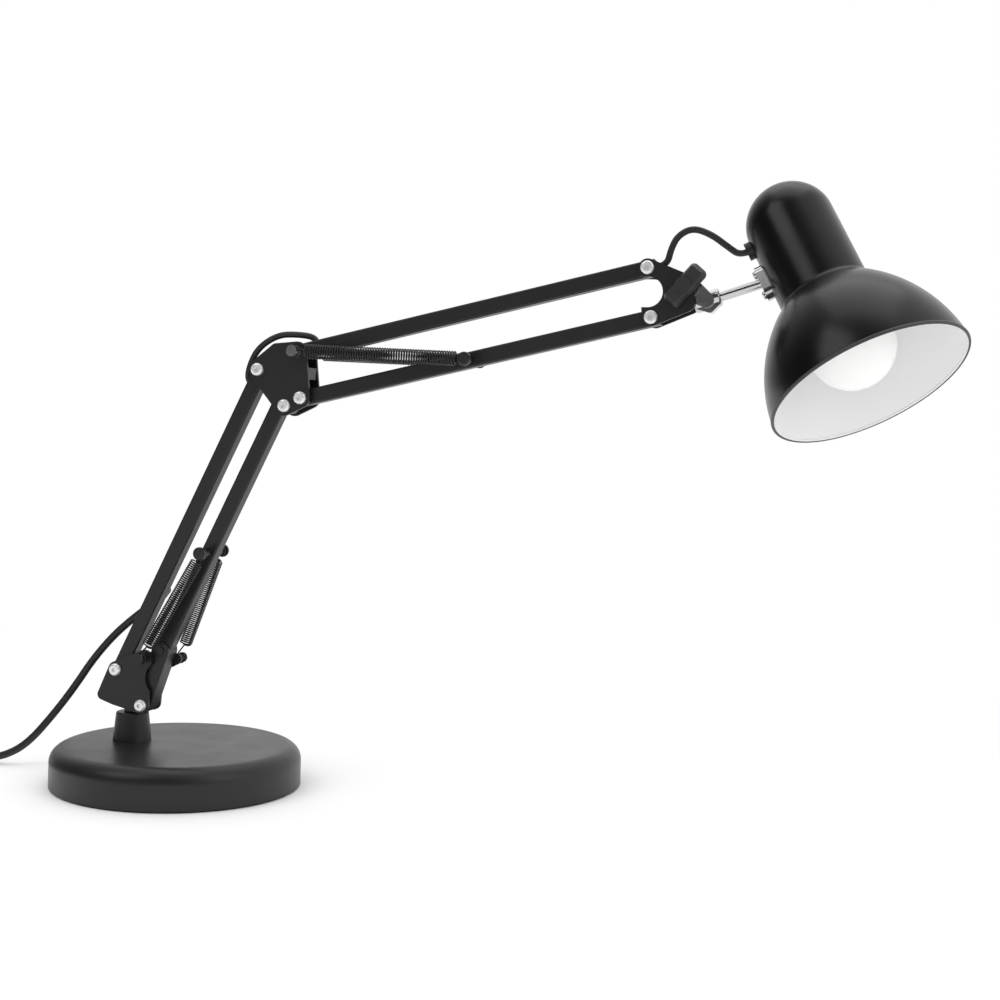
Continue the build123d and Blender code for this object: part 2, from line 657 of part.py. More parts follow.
keep(front_tube_knuckle, "front_tube_knuckle")

with BuildPart() as knuckle_rivet:
    rivet_half = half_inside + KNUCKLE_WALL
    with BuildSketch(Plane.XZ):
        with Locations(knuckle_nose):
            Circle(KNUCKLE_RIVET / 2)
    extrude(amount=rivet_half, both=True)
    for side in (-1, 1):
        with BuildSketch(at_y(side * rivet_half)):
            with Locations(knuckle_nose):
                Circle(KNUCKLE_RIVET_HEAD / 2)
        extrude(amount=-side * KNUCKLE_RIVET_HEAD_HEIGHT)
keep(knuckle_rivet, "knuckle_rivet")

with BuildPart() as front_tube_lug:
    plug_start = stepped(FRONT_AXIS_START, LOWER_ARM - LUG_PLUG, LOWER_ARM_ANGLE)
    plug_width = TUBE - 2 * TUBE_WALL - 2 * RUNNING_FIT
    plug_run = in_space(stepped((0, 0), 1, LOWER_ARM_ANGLE))
    with BuildSketch(Plane(origin=in_space(plug_start), x_dir=(0, 1, 0), z_dir=plug_run)):
        Rectangle(plug_width, plug_width)
    extrude(amount=LUG_PLUG)
    with BuildSketch(Plane.XZ):
        with Locations(ELBOW_FRONT):
            Circle(LUG_RADIUS)
    extrude(amount=TUBE / 2, both=True)
    with BuildSketch(Plane.XZ):
        with Locations(ELBOW_FRONT):
            Circle(BUSH_HOLE)
    extrude(amount=TUBE, both=True, mode=Mode.SUBTRACT)
keep(front_tube_lug, "front_tube_lug")
keep(
    pivot_bushes([LOWER_FRONT_PIVOT, ELBOW_FRONT], [RUNNING_FIT, OPEN_PIVOT_FIT]),
    "lower_front_bushes",
)


def spring_pin(point):
    """Cross pin through an arm, with a cap at each end to keep the spring eyes on."""
    with BuildPart() as pin:
        with BuildSketch(Plane.XZ):
            with Locations(point):
                Circle(SPRING_PIN_DIAMETER / 2)
        extrude(amount=SPRING_PIN_LENGTH / 2, both=True)
        for side in (-1, 1):
            with BuildSketch(at_y(side * SPRING_PIN_LENGTH / 2)):
                with Locations(point):
                    Circle(SPRING_PIN_CAP / 2)
            extrude(amount=side * SPRING_PIN_CAP_LENGTH)
        fillet(pin.faces().filter_by(Axis.Y).group_by(Axis.Y)[0].edges(), SPRING_PIN_CAP_LENGTH / 2)
        fillet(pin.faces().filter_by(Axis.Y).group_by(Axis.Y)[-1].edges(), SPRING_PIN_CAP_LENGTH / 2)
    return pin


keep(spring_pin(LOWER_PIN), "lower_spring_pin")

# Elbow: two plates joined by a web, four pivots
with BuildPart() as elbow_bracket:
    elbow_points = (ELBOW_REAR, ELBOW_FRONT, ELBOW_TOP, ELBOW_BOTTOM)
    elbow_lobes = [(point, ELBOW_LOBE_RADIUS) for point in elbow_points]
    elbow_lobes.append((ELBOW_CORNER, ELBOW_CORNER_RADIUS))
    for near_face in (-PLATE_INNER, PLATE_OUTER):
        with BuildSketch(at_y(near_face)):
            lobed(elbow_lobes)
            with Locations(ELBOW_REAR, ELBOW_FRONT, ELBOW_BOTTOM):
                Circle(SCREW_DIAMETER / 2 + RUNNING_FIT, mode=Mode.SUBTRACT)
            with Locations(ELBOW_TOP):
                Circle(STUD_DIAMETER / 2 + RUNNING_FIT, mode=Mode.SUBTRACT)
        extrude(amount=PLATE)
    with BuildSketch(Plane.XZ):
        with Locations((ELBOW_WEB_X + PLATE / 2, (ELBOW_WEB_BOTTOM + ELBOW_WEB_TOP) / 2)):
            Rectangle(PLATE, ELBOW_WEB_TOP - ELBOW_WEB_BOTTOM)
    extrude(amount=PLATE_INNER, both=True)
keep(elbow_bracket, "elbow_bracket")

elbow_pivots = [ELBOW_REAR, ELBOW_FRONT, ELBOW_BOTTOM]
keep(pivot_screws(elbow_pivots), "elbow_screws")
keep(pivot_nuts(elbow_pivots), "elbow_nuts")

with BuildPart() as elbow_spring_stud:
    with BuildSketch(Plane.XZ):
        with Locations(ELBOW_TOP):
            Circle(STUD_DIAMETER / 2)
    extrude(amount=STUD_LENGTH / 2, both=True)
    for side in (-1, 1):
        for place in (STUD_LENGTH / 2, PLATE_OUTER + STUD_CAP_LENGTH):
            with BuildSketch(at_y(side * place)):
                with Locations(ELBOW_TOP):
                    Circle(STUD_CAP / 2)
            extrude(amount=side * STUD_CAP_LENGTH)
keep(elbow_spring_stud, "elbow_spring_stud")

# Upper arms
upper_top_tube = square_tube(
    stepped(ELBOW_TOP, -TUBE_OVERHANG, UPPER_ARM_ANGLE),
    UPPER_ARM_ANGLE,
    UPPER_ARM + 2 * TUBE_OVERHANG,
    [(ELBOW_TOP, BUSH_HOLE), (HEAD_UPPER, BUSH_HOLE)],
    [(ELBOW_LEAD_END, UPPER_NORMAL, LEAD_DIAMETER / 2 + LOOSE_FIT)],
)
keep(upper_top_tube, "upper_top_tube")
keep(pivot_bushes([ELBOW_TOP, HEAD_UPPER], [RUNNING_FIT, RUNNING_FIT]), "upper_top_bushes")

upper_bottom_tube = square_tube(
    stepped(ELBOW_BOTTOM, -TUBE_OVERHANG, UPPER_ARM_ANGLE),
    UPPER_ARM_ANGLE,
    UPPER_ARM + 2 * TUBE_OVERHANG,
    [
        (ELBOW_BOTTOM, BUSH_HOLE),
        (HEAD_LOWER, BUSH_HOLE),
        (UPPER_PIN, SPRING_PIN_DIAMETER / 2 + RUNNING_FIT),
    ],
    [],
)
keep(upper_bottom_tube, "upper_bottom_tube")
keep(pivot_bushes([ELBOW_BOTTOM, HEAD_LOWER], [RUNNING_FIT, OPEN_PIVOT_FIT]), "upper_bottom_bushes")
keep(spring_pin(UPPER_PIN), "upper_spring_pin")


def arcs_through(points, tangents):
    """Chain of arcs, two to each span, through the points in the given directions, all tangent."""
    for start, end, out, home in zip(points, points[1:], tangents, tangents[1:]):
        span = end - start
        spread = 2 * (1 - out.dot(home))
        reach = span.dot(out + home)
        if spread < 1e-9:
            arm = span.dot(span) / (2 * reach)
        else:
            arm = (sqrt(reach**2 + spread * span.dot(span)) - reach) / spread
        middle = (start + end + (out - home) * arm) * 0.5
        across = (end - home * arm) - (start + out * arm)
        TangentArc(start, middle, tangent=out)
        TangentArc(middle, end, tangent=across.normalized())


def least_gap(wire, wire_diameter, samples):
    """Least clear distance between stretches of a wound tube that are over a half turn apart."""
    dots = [wire.position_at(step / samples) for step in range(samples + 1)]
    pace = wire.length / samples
    skip = int(GAP_SKIP * wire_diameter / pace) + 1
    least = min(
        (dots[first] - dots[second]).length
        for first in range(len(dots))
        for second in range(first + skip, len(dots))
    )
    return least - wire_diameter


def wound_spring(start, end, y, eye_at_end):
    """Spring between two posts that stand along Y: an eye, the coil, and a second eye or a cut end."""
    away = in_space(end, y) - in_space(start, y)
    axis = away.normalized()
    side = Vector(0, 1, 0).cross(axis)
    depth = Vector(0, 1, 0)
    origin = in_space(start, y)
    eye = SPRING_EYE / 2
    coil = (SPRING_DIAMETER - SPRING_WIRE) / 2
    lead = SPRING_END_REACH
    coil_length = away.length - 2 * lead
    climb = coil_length / (SPRING_TURNS * 2 * pi * coil)

    def place(u, v, w):
        return origin + side * u + depth * v + axis * w

    points = [place(0, 0, eye), place(eye, 0, 0), place(0, 0, -eye), place(-eye, 0, 0)]
    tangents = [side, -axis, -side, axis]
    for half_turn in range(2 * SPRING_TURNS + 1):
        angle = pi / 2 + half_turn * pi
        rise = coil_length * half_turn / (2 * SPRING_TURNS)
        points.append(place(coil * cos(angle), coil * sin(angle), lead + rise))
        turn = side * -sin(angle) + depth * cos(angle)
        tangents.append((turn + axis * climb).normalized())
    if eye_at_end:
        far = away.length
        points += [place(-eye, 0, far), place(0, 0, far + eye), place(eye, 0, far), place(0, 0, far - eye)]
        tangents += [axis, side, -axis, -side]
    with BuildPart() as spring:
        with BuildLine() as path:
            arcs_through(points, tangents)
        wire = path.wire()
        with BuildSketch(Plane(origin=wire @ 0, z_dir=wire % 0)):
            Circle(SPRING_WIRE / 2)
        sweep(path=wire)
    volume = pi * SPRING_WIRE**2 / 4 * wire.length
    print(f"spring: wire {wire.length:.0f} mm, volume {spring.part.volume:.0f} of {volume:.0f} mm3")
    print(f"  gap to itself {least_gap(wire, SPRING_WIRE, GAP_SAMPLES):.2f} mm")
    return spring


with BuildPart() as lower_springs:
    add(wound_spring(FRONT_HOOK, LOWER_PIN, -SPRING_Y, True).part)
    add(wound_spring(BACK_HOOK, LOWER_PIN, SPRING_Y, True).part)
keep(lower_springs, "lower_springs")

with BuildPart() as upper_springs:
    add(wound_spring(ELBOW_TOP, UPPER_PIN, -SPRING_Y, False).part)
    add(wound_spring(ELBOW_TOP, UPPER_PIN, SPRING_Y, False).part)
keep(upper_springs, "upper_springs")

# Far hooks of the upper springs: a ring round the pin and a shank that slides into the coil
with BuildPart() as upper_spring_hooks:
    run = in_space(UPPER_PIN) - in_space(ELBOW_TOP)
    along = run.normalized()
    down = Vector(0, 1, 0).cross(along)
    ring = SPRING_EYE / 2
    for y in (-SPRING_Y, SPRING_Y):
        centre = in_space(UPPER_PIN, y)
        neck = centre - along * (SPRING_END_REACH - SPRING_WIRE)
        with BuildLine() as hook_path:
            Line(neck - along * HOOK_SHANK, neck)
            round_pin = [centre - down * ring, centre + along * ring]
            round_pin += [centre + down * ring, centre - along * ring]
            arcs_through([neck, *round_pin], [along, along, down, -along, -down])
        hook_wire = hook_path.wire()
        with BuildSketch(Plane(origin=hook_wire @ 0, z_dir=hook_wire % 0)):
            Circle(SPRING_WIRE / 2)
        sweep(path=hook_wire)
keep(upper_spring_hooks, "upper_spring_hooks")

# Head bracket: two loose plates, the clamp between them and its wing knob
head_pivots = [HEAD_UPPER, HEAD_LOWER]
head_plates = {}
for name, near_face in (("head_front_plate", -PLATE_INNER), ("head_back_plate", PLATE_OUTER)):
    with BuildPart() as head_plates[name]:
        with BuildSketch(at_y(near_face)):
            lobed(
                [
                    (HEAD_UPPER, LOBE_RADIUS),
                    (HEAD_LOWER, LOBE_RADIUS),
                    (HEAD_PLATE_TOP, HEAD_PLATE_CORNER),
                    (HEAD_PLATE_LOW, HEAD_PLATE_CORNER),
                ]
            )
            with Locations(HEAD_NOTCH):
                Circle(HEAD_NOTCH_RADIUS, mode=Mode.SUBTRACT)
                with Locations((-HEAD_NOTCH_RADIUS, 0)):
                    Rectangle(2 * HEAD_NOTCH_RADIUS, 2 * HEAD_NOTCH_RADIUS, mode=Mode.SUBTRACT)
            with Locations(*head_pivots):
                Circle(SCREW_DIAMETER / 2 + RUNNING_FIT, mode=Mode.SUBTRACT)
            with Locations(CLAMP):
                Circle(CLAMP_BOLT_DIAMETER / 2 + RUNNING_FIT, mode=Mode.SUBTRACT)
        extrude(amount=PLATE)
    keep(head_plates[name], name)
keep(pivot_screws(head_pivots), "head_screws")
keep(pivot_nuts(head_pivots), "head_nuts")

with BuildPart() as clamp_bolt:
    with BuildSketch(at_y(PLATE_OUTER)):
        with Locations(CLAMP):
            RegularPolygon(CLAMP_BOLT_HEAD / 2, 6, major_radius=False)
    extrude(amount=-CLAMP_BOLT_HEAD_HEIGHT)
    with BuildSketch(at_y(PLATE_OUTER)):
        with Locations(CLAMP):
            Circle(CLAMP_BOLT_DIAMETER / 2)
    extrude(amount=2 * PLATE_OUTER + CLAMP_BOLT_THREAD)
keep(clamp_bolt, "clamp_bolt")

with BuildPart() as friction_washers:
    for side in (-1, 1):
        with BuildSketch(at_y(side * (PLATE_INNER - FACE_GAP))):
            with Locations(CLAMP):
                Circle(CLAMP_WASHER_DIAMETER / 2)
                Circle(CLAMP_BOLT_DIAMETER / 2 + RUNNING_FIT, mode=Mode.SUBTRACT)
        extrude(amount=side * (PLATE_INNER - 2 * FACE_GAP - TONGUE_THICKNESS / 2))
keep(friction_washers, "friction_washers")

with BuildPart() as wing_knob:
    with BuildSketch(at_y(-PLATE_OUTER - FACE_GAP - KNOB_FOOT)):
        with Locations(Location((*CLAMP, 0), (0, 0, KNOB_ANGLE))):
            RectangleRounded(KNOB_LENGTH, KNOB_WIDTH, KNOB_CORNER)
    extrude(amount=KNOB_THICKNESS, taper=KNOB_TAPER)
    fillet(wing_knob.faces().filter_by(Axis.Y).group_by(Axis.Y)[0].edges(), KNOB_EDGE)
    with BuildSketch(at_y(-PLATE_OUTER - FACE_GAP)):
        with Locations(CLAMP):
            Circle(KNOB_HUB / 2)
    extrude(amount=KNOB_HUB_HEIGHT)
    with BuildSketch(at_y(-PLATE_OUTER)):
        with Locations(CLAMP):
            Circle(CLAMP_BOLT_DIAMETER / 2 + RUNNING_FIT)
    extrude(amount=CLAMP_BOLT_THREAD + LOOSE_FIT, mode=Mode.SUBTRACT)
keep(wing_knob, "wing_knob")

# Joint of the head: a tongue held by the clamp, with a barrel for the stem
barrel_start = in_space(BARREL_END) - STEM_DIRECTION * BARREL_LENGTH
barrel_middle = in_space(BARREL_END) - STEM_DIRECTION * BARREL_LENGTH / 2
with BuildPart() as head_knuckle:
    with BuildSketch(Plane(origin=barrel_start, z_dir=STEM_DIRECTION)):
        Circle(BARREL_DIAMETER / 2)
    extrude(amount=BARREL_LENGTH)
    fillet(head_knuckle.edges().filter_by(GeomType.CIRCLE), BARREL_EDGE)
    with BuildSketch(Plane.XZ):
        lobed([(CLAMP, TONGUE_RADIUS), ((barrel_middle.X, barrel_middle.Z), TONGUE_FOOT)])
    extrude(amount=TONGUE_THICKNESS / 2, both=True)
    foot = []
    for along, above in (FOOT_TOE, FOOT_BOTTOM, FOOT_HEEL):
        on_axis = stepped(BARREL_END, along, STEM_RISE)
        foot.append((beside(on_axis, above, STEM_RISE), FOOT_ROUND))
    with BuildSketch(Plane.XZ):
        lobed(foot)
    extrude(amount=FOOT_THICKNESS / 2, both=True)
    with BuildSketch(Plane.XZ):
        with Locations(CLAMP):
            Circle(CLAMP_BOLT_DIAMETER / 2 + RUNNING_FIT)
    extrude(amount=TONGUE_THICKNESS, both=True, mode=Mode.SUBTRACT)
    with BuildSketch(Plane(origin=in_space(BARREL_END), z_dir=-STEM_DIRECTION)):
        Circle(STEM_DIAMETER / 2 + RUNNING_FIT)
    extrude(amount=STEM_ENGAGED, mode=Mode.SUBTRACT)
keep(head_knuckle, "head_knuckle")

# Lamp head
STEM_LEAN = STEM_DIRECTION.dot(HEAD_AXIS)
STEM_SQUARE = sqrt(1 - STEM_LEAN**2)
STEM_FOOT = -NECK_RADIUS * STEM_LEAN / STEM_SQUARE
NECK_INNER = NECK_RADIUS - SHADE_WALL
stem_start = in_space(BARREL_END) - STEM_DIRECTION * (STEM_ENGAGED - FACE_GAP)
stem_length = STEM_TO_AXIS + STEM_ENGAGED - FACE_GAP - NECK_RADIUS / STEM_SQUARE + STEM_INSIDE
with BuildPart() as stem:
    with BuildSketch(Plane(origin=stem_start, z_dir=STEM_DIRECTION)):
        Circle(STEM_DIAMETER / 2)
    extrude(amount=stem_length)
keep(stem, "stem")

with BuildPart() as stem_nut:
    nut_end = stem_start + STEM_DIRECTION * stem_length
    with BuildSketch(Plane(origin=nut_end, z_dir=-STEM_DIRECTION)):
        RegularPolygon(STEM_NUT_WIDTH / 2, 6, major_radius=False)
        Circle(STEM_DIAMETER / 2 + RUNNING_FIT, mode=Mode.SUBTRACT)
    extrude(amount=STEM_NUT_HEIGHT)
keep(stem_nut, "stem_nut")

with BuildPart() as stem_saddle:
    with BuildSketch(neck_plane(STEM_FOOT, NECK_RADIUS + SADDLE_HEIGHT)):
        SlotOverall(SADDLE_LENGTH, SADDLE_WIDTH)
    extrude(amount=-2 * SADDLE_HEIGHT)
    with BuildSketch(head_plane(STEM_FOOT)):
        Circle(NECK_RADIUS)
    extrude(amount=SADDLE_LENGTH, both=True, mode=Mode.SUBTRACT)
    with BuildSketch(Plane(origin=stem_start, z_dir=STEM_DIRECTION)):
        Circle(STEM_DIAMETER / 2 + RUNNING_FIT)
    extrude(amount=stem_length, mode=Mode.SUBTRACT)
    with BuildSketch(neck_plane(STEM_FOOT, NECK_RADIUS + SADDLE_HEIGHT)):
        with GridLocations(SADDLE_SCREW_SPACING, 1, 2, 1):
            Circle(SADDLE_SCREW_DIAMETER / 2 + RUNNING_FIT)
    extrude(amount=-2 * SADDLE_HEIGHT, mode=Mode.SUBTRACT)
keep(stem_saddle, "stem_saddle")

with BuildPart() as saddle_screws:
    with BuildSketch(neck_plane(STEM_FOOT, NECK_RADIUS + SADDLE_HEIGHT)):
        with GridLocations(SADDLE_SCREW_SPACING, 1, 2, 1):
            Circle(SADDLE_SCREW_HEAD / 2)
    extrude(amount=SADDLE_SCREW_HEAD_HEIGHT)
    heads = saddle_screws.faces().filter_by(GeomType.PLANE)
    tops = [face for face in heads if face.normal_at().dot(HEAD_OUTWARD) < -FACING_SHARE]
    fillet([edge for face in tops for edge in face.edges()], SADDLE_SCREW_HEAD_HEIGHT / 2)
    with BuildSketch(neck_plane(STEM_FOOT, NECK_RADIUS + SADDLE_HEIGHT)):
        with GridLocations(SADDLE_SCREW_SPACING, 1, 2, 1):
            Circle(SADDLE_SCREW_DIAMETER / 2)
    extrude(amount=-SADDLE_HEIGHT - SADDLE_SCREW_REACH)
keep(saddle_screws, "saddle_screws")


def bell(inset):
    """Half outline of the shade in its section plane, a distance inside its outer skin."""
    throat = NECK_RADIUS - inset
    drop = sqrt((SHADE_BELL_RADIUS - inset) ** 2 - (throat - SHADE_BELL_CENTRE[0]) ** 2)
    neck = (throat, SHADE_BELL_CENTRE[1] - drop)
    middle = (neck[1] + SHADE_RIM_PLACE) / 2
    rim = (bell_radius(SHADE_RIM_PLACE, inset), SHADE_RIM_PLACE)
    with BuildLine() as outline:
        Line((0, SHADE_RIM_PLACE), (0, SHADE_DOME_START - throat))
        CenterArc((0, SHADE_DOME_START), throat, -90, 90)
        Line((throat, SHADE_DOME_START), neck)
        ThreePointArc(neck, (bell_radius(middle, inset), middle), rim)
        Line(rim, (0, SHADE_RIM_PLACE))
    make_face(outline.edges())
    return Vector(*neck)


with BuildPart() as shade:
    axis_of_head = Axis(HEAD_CENTRE, HEAD_AXIS)
    for inset, mode in ((0, Mode.ADD), (SHADE_WALL, Mode.SUBTRACT)):
        with BuildSketch(head_section()) as half:
            neck = bell(inset)
            fillet(half.vertices().sort_by_distance(neck)[:1], SHADE_NECK_FILLET + inset)
        revolve(axis=axis_of_head, mode=mode)
    with BuildSketch(head_section()):
        with Locations((RIM_RADIUS - SHADE_WALL / 2, SHADE_RIM_PLACE)):
            Circle(RIM_BEAD)
    revolve(axis=axis_of_head)
    with BuildSketch(Plane(origin=stem_start, z_dir=STEM_DIRECTION)):
        Circle(STEM_DIAMETER / 2 + RUNNING_FIT)
    extrude(amount=stem_length, mode=Mode.SUBTRACT)
    with BuildSketch(neck_plane(STEM_FOOT, NECK_INNER - SADDLE_SCREW_REACH)):
        with GridLocations(SADDLE_SCREW_SPACING, 1, 2, 1):
            Circle(SADDLE_SCREW_DIAMETER / 2 + RUNNING_FIT)
    extrude(amount=2 * SADDLE_SCREW_REACH, mode=Mode.SUBTRACT)
    with BuildSketch(neck_plane(GROMMET_PLACE, NECK_INNER - GROMMET_FLANGE_HEIGHT)):
        Circle(GROMMET_DIAMETER / 2 + RUNNING_FIT)
    extrude(amount=2 * GROMMET_FLANGE_HEIGHT, mode=Mode.SUBTRACT)
keep(shade, "shade")

with BuildPart() as neck_grommet:
    with BuildSketch(neck_plane(GROMMET_PLACE, NECK_RADIUS + GROMMET_FLANGE_HEIGHT)):
        Circle(GROMMET_FLANGE / 2)
    extrude(amount=-2 * GROMMET_FLANGE_HEIGHT)
    with BuildSketch(head_plane(GROMMET_PLACE)):
        Circle(NECK_RADIUS)
    extrude(amount=GROMMET_FLANGE, both=True, mode=Mode.SUBTRACT)
    with BuildSketch(neck_plane(GROMMET_PLACE, NECK_RADIUS + GROMMET_FLANGE_HEIGHT)):
        Circle(GROMMET_DIAMETER / 2)
    extrude(amount=-GROMMET_FLANGE_HEIGHT - 2 * SHADE_WALL)
    with BuildSketch(neck_plane(GROMMET_PLACE, NECK_RADIUS + GROMMET_FLANGE_HEIGHT)):
        Circle(LEAD_DIAMETER / 2 + RUNNING_FIT)
    extrude(amount=-GROMMET_FLANGE, mode=Mode.SUBTRACT)
keep(neck_grommet, "neck_grommet")

with BuildPart() as lamp_holder:
    with BuildSketch(head_plane(HOLDER_TOP)):
        Circle(HOLDER_DIAMETER / 2)
    extrude(amount=HOLDER_MOUTH - HOLDER_TOP)
    fillet(lamp_holder.faces().sort_by(Axis(HEAD_CENTRE, HEAD_AXIS))[0].edges(), HOLDER_EDGE)
    with BuildSketch(head_plane(HOLDER_MOUTH)):
        Circle(BULB_NECK_DIAMETER / 2)
    extrude(amount=-BULB_CAP_LENGTH, mode=Mode.SUBTRACT)
    with BuildSketch(head_plane(HOLDER_RING_PLACE)):
        Circle(NECK_INNER - RUNNING_FIT)
        Circle((BULB_NECK_DIAMETER + HOLDER_DIAMETER) / 4, mode=Mode.SUBTRACT)
    extrude(amount=HOLDER_RING_HEIGHT)
keep(lamp_holder, "lamp_holder")

with BuildPart() as bulb_cap:
    with BuildSketch(head_plane(HOLDER_MOUTH)):
        Circle(BULB_CAP_DIAMETER / 2)
    extrude(amount=-BULB_CAP_LENGTH)
keep(bulb_cap, "bulb_cap")

with BuildPart() as bulb_glass:
    for inset, mode in ((0, Mode.ADD), (BULB_WALL, Mode.SUBTRACT)):
        globe = BULB_DIAMETER / 2 - inset
        throat = BULB_NECK_DIAMETER / 2 - inset
        throat_end = BULB_CENTRE - sqrt(globe**2 - throat**2)
        with BuildSketch(head_section()):
            with BuildLine():
                Polyline((0, HOLDER_MOUTH + inset), (throat, HOLDER_MOUTH + inset), (throat, throat_end))
                ThreePointArc((throat, throat_end), (globe, BULB_CENTRE), (0, BULB_CENTRE + globe))
                Line((0, BULB_CENTRE + globe), (0, HOLDER_MOUTH + inset))
            make_face()
        revolve(axis=axis_of_head, mode=mode)
keep(bulb_glass, "bulb_glass")


def cord_route(points):
    """Straight runs through the points with a tangent arc at each turn, wide for the shorter run."""
    points = [Vector(*point) for point in points]
    radii = []
    for before, here, after in zip(points, points[1:], points[2:]):
        runs = (here - before, after - here)
        turn = radians(runs[0].get_angle(runs[1]))
        radii.append(ROUND_SHARE * min(run.length for run in runs) / tan(turn / 2))
    print("turn radii", ", ".join(f"{radius:.0f}" for radius in radii))
    FilletPolyline(*points, radius=radii)


def round_cord(points, diameter, name):
    """Round cord along straight runs and arcs through the points."""
    with BuildPart() as cord:
        with BuildLine() as route:
            cord_route(points)
        wire = route.wire()
        with BuildSketch(Plane(origin=wire @ 0, z_dir=wire % 0)):
            Circle(diameter / 2)
        sweep(path=wire)
    volume = pi * diameter**2 / 4 * wire.length
    print(f"{name}: {wire.length:.0f} mm, volume {cord.part.volume:.0f} of {volume:.0f} mm3")
    keep(cord, name)


# Leads between the arms and to the lamp head
lead_out = in_space(ELBOW_LEAD_START) + LOWER_NORMAL * (TUBE / 2 - TUBE_WALL)
lead_in = in_space(ELBOW_LEAD_END) + UPPER_NORMAL * (TUBE / 2 - TUBE_WALL)
round_cord(
    [
        lead_out,
        lead_out + LOWER_NORMAL * LEAD_EXIT,
        *[in_space(point) for point in ELBOW_LEAD_ROUTE],
        lead_in + UPPER_NORMAL * LEAD_EXIT,
        lead_in,
    ],
    LEAD_DIAMETER,
    "elbow_lead",
)
tube_mouth = in_space(stepped(HEAD_UPPER, BUSH_DIAMETER / 2 + LOOSE_FIT, UPPER_ARM_ANGLE))
grommet_mouth = HEAD_CENTRE + HEAD_AXIS * GROMMET_PLACE - HEAD_OUTWARD * (NECK_RADIUS + GROMMET_FLANGE_HEIGHT)
round_cord(
    [
        tube_mouth,
        *HEAD_LEAD_ROUTE,
        grommet_mouth - HEAD_OUTWARD * LEAD_EXIT,
        grommet_mouth + HEAD_OUTWARD * (GROMMET_FLANGE_HEIGHT + SHADE_WALL),
    ],
    LEAD_DIAMETER,
    "head_lead",
)

# Mains cord: out of the rear arm, down to the table and away to the switch
cord_start = in_space(CORD_EXIT, TUBE / 2 - TUBE_WALL)
upper_split = (Vector(*CORD_ROUTE[1]) + Vector(*CORD_ROUTE[2])) / 2
lower_split = (Vector(*CORD_ROUTE[4]) + Vector(*CORD_ROUTE[5])) / 2
switch_near = Vector(SWITCH_END_X - CORD_GRIP, SWITCH_Y, SWITCH_CORD_HEIGHT)
round_cord(
    [cord_start, cord_start + Vector(0, CORD_EXIT_RUN, 0), *CORD_ROUTE[:2], upper_split],
    CORD_DIAMETER,
    "mains_cord_upper",
)
round_cord([upper_split, *CORD_ROUTE[2:5], lower_split], CORD_DIAMETER, "mains_cord_lower")
round_cord(
    [lower_split, *CORD_ROUTE[5:], switch_near + Vector(CORD_GRIP + CORD_EXIT_RUN, 0, 0), switch_near],
    CORD_DIAMETER,
    "mains_cord_floor",
)

# Switch in the cord, with a rocker on an axle
switch_far_x = SWITCH_END_X - SWITCH_LENGTH
switch_middle = (SWITCH_END_X + switch_far_x) / 2
rocker_axis_z = SWITCH_HEIGHT + ROCKER_PROUD - ROCKER_DEPTH / 2
with BuildPart() as cord_switch_case:
    with BuildSketch(Plane.XY):
        with Locations((switch_middle, SWITCH_Y)):
            RectangleRounded(SWITCH_LENGTH, SWITCH_WIDTH, SWITCH_EDGE)
    extrude(amount=SWITCH_HEIGHT)
    fillet(cord_switch_case.faces().sort_by(Axis.Z)[-1].edges(), SWITCH_TOP_EDGE)
    with BuildSketch(Plane.XY.offset(SWITCH_HEIGHT)):
        with Locations((switch_middle, SWITCH_Y)):
            Rectangle(ROCKER_LENGTH + 2 * ROCKER_GAP, ROCKER_WIDTH + 2 * LOOSE_FIT)
    extrude(amount=-ROCKER_DEPTH - ROCKER_GAP, mode=Mode.SUBTRACT)
    with BuildSketch(at_y(SWITCH_Y)):
        with Locations((switch_middle, rocker_axis_z)):
            Circle(ROCKER_AXLE / 2 + RUNNING_FIT)
    extrude(amount=ROCKER_AXLE_LENGTH / 2 + LOOSE_FIT, both=True, mode=Mode.SUBTRACT)
    for end_x, direction in ((SWITCH_END_X, -1), (switch_far_x, 1)):
        with BuildSketch(Plane(origin=(end_x, SWITCH_Y, SWITCH_CORD_HEIGHT), z_dir=(direction, 0, 0))):
            Circle(CORD_DIAMETER / 2 + RUNNING_FIT)
        extrude(amount=CORD_GRIP, mode=Mode.SUBTRACT)
keep(cord_switch_case, "cord_switch_case")

with BuildPart() as switch_rocker:
    with BuildSketch(at_y(SWITCH_Y)):
        with Locations((switch_middle, rocker_axis_z)):
            Rectangle(ROCKER_LENGTH, ROCKER_DEPTH)
    extrude(amount=ROCKER_WIDTH / 2, both=True)
    fillet(switch_rocker.edges().filter_by(Axis.Y).group_by(Axis.Z)[-1], ROCKER_GAP)
    with BuildSketch(at_y(SWITCH_Y)):
        with Locations((switch_middle, rocker_axis_z)):
            Circle(ROCKER_AXLE / 2)
    extrude(amount=ROCKER_AXLE_LENGTH / 2, both=True)
keep(switch_rocker, "switch_rocker")

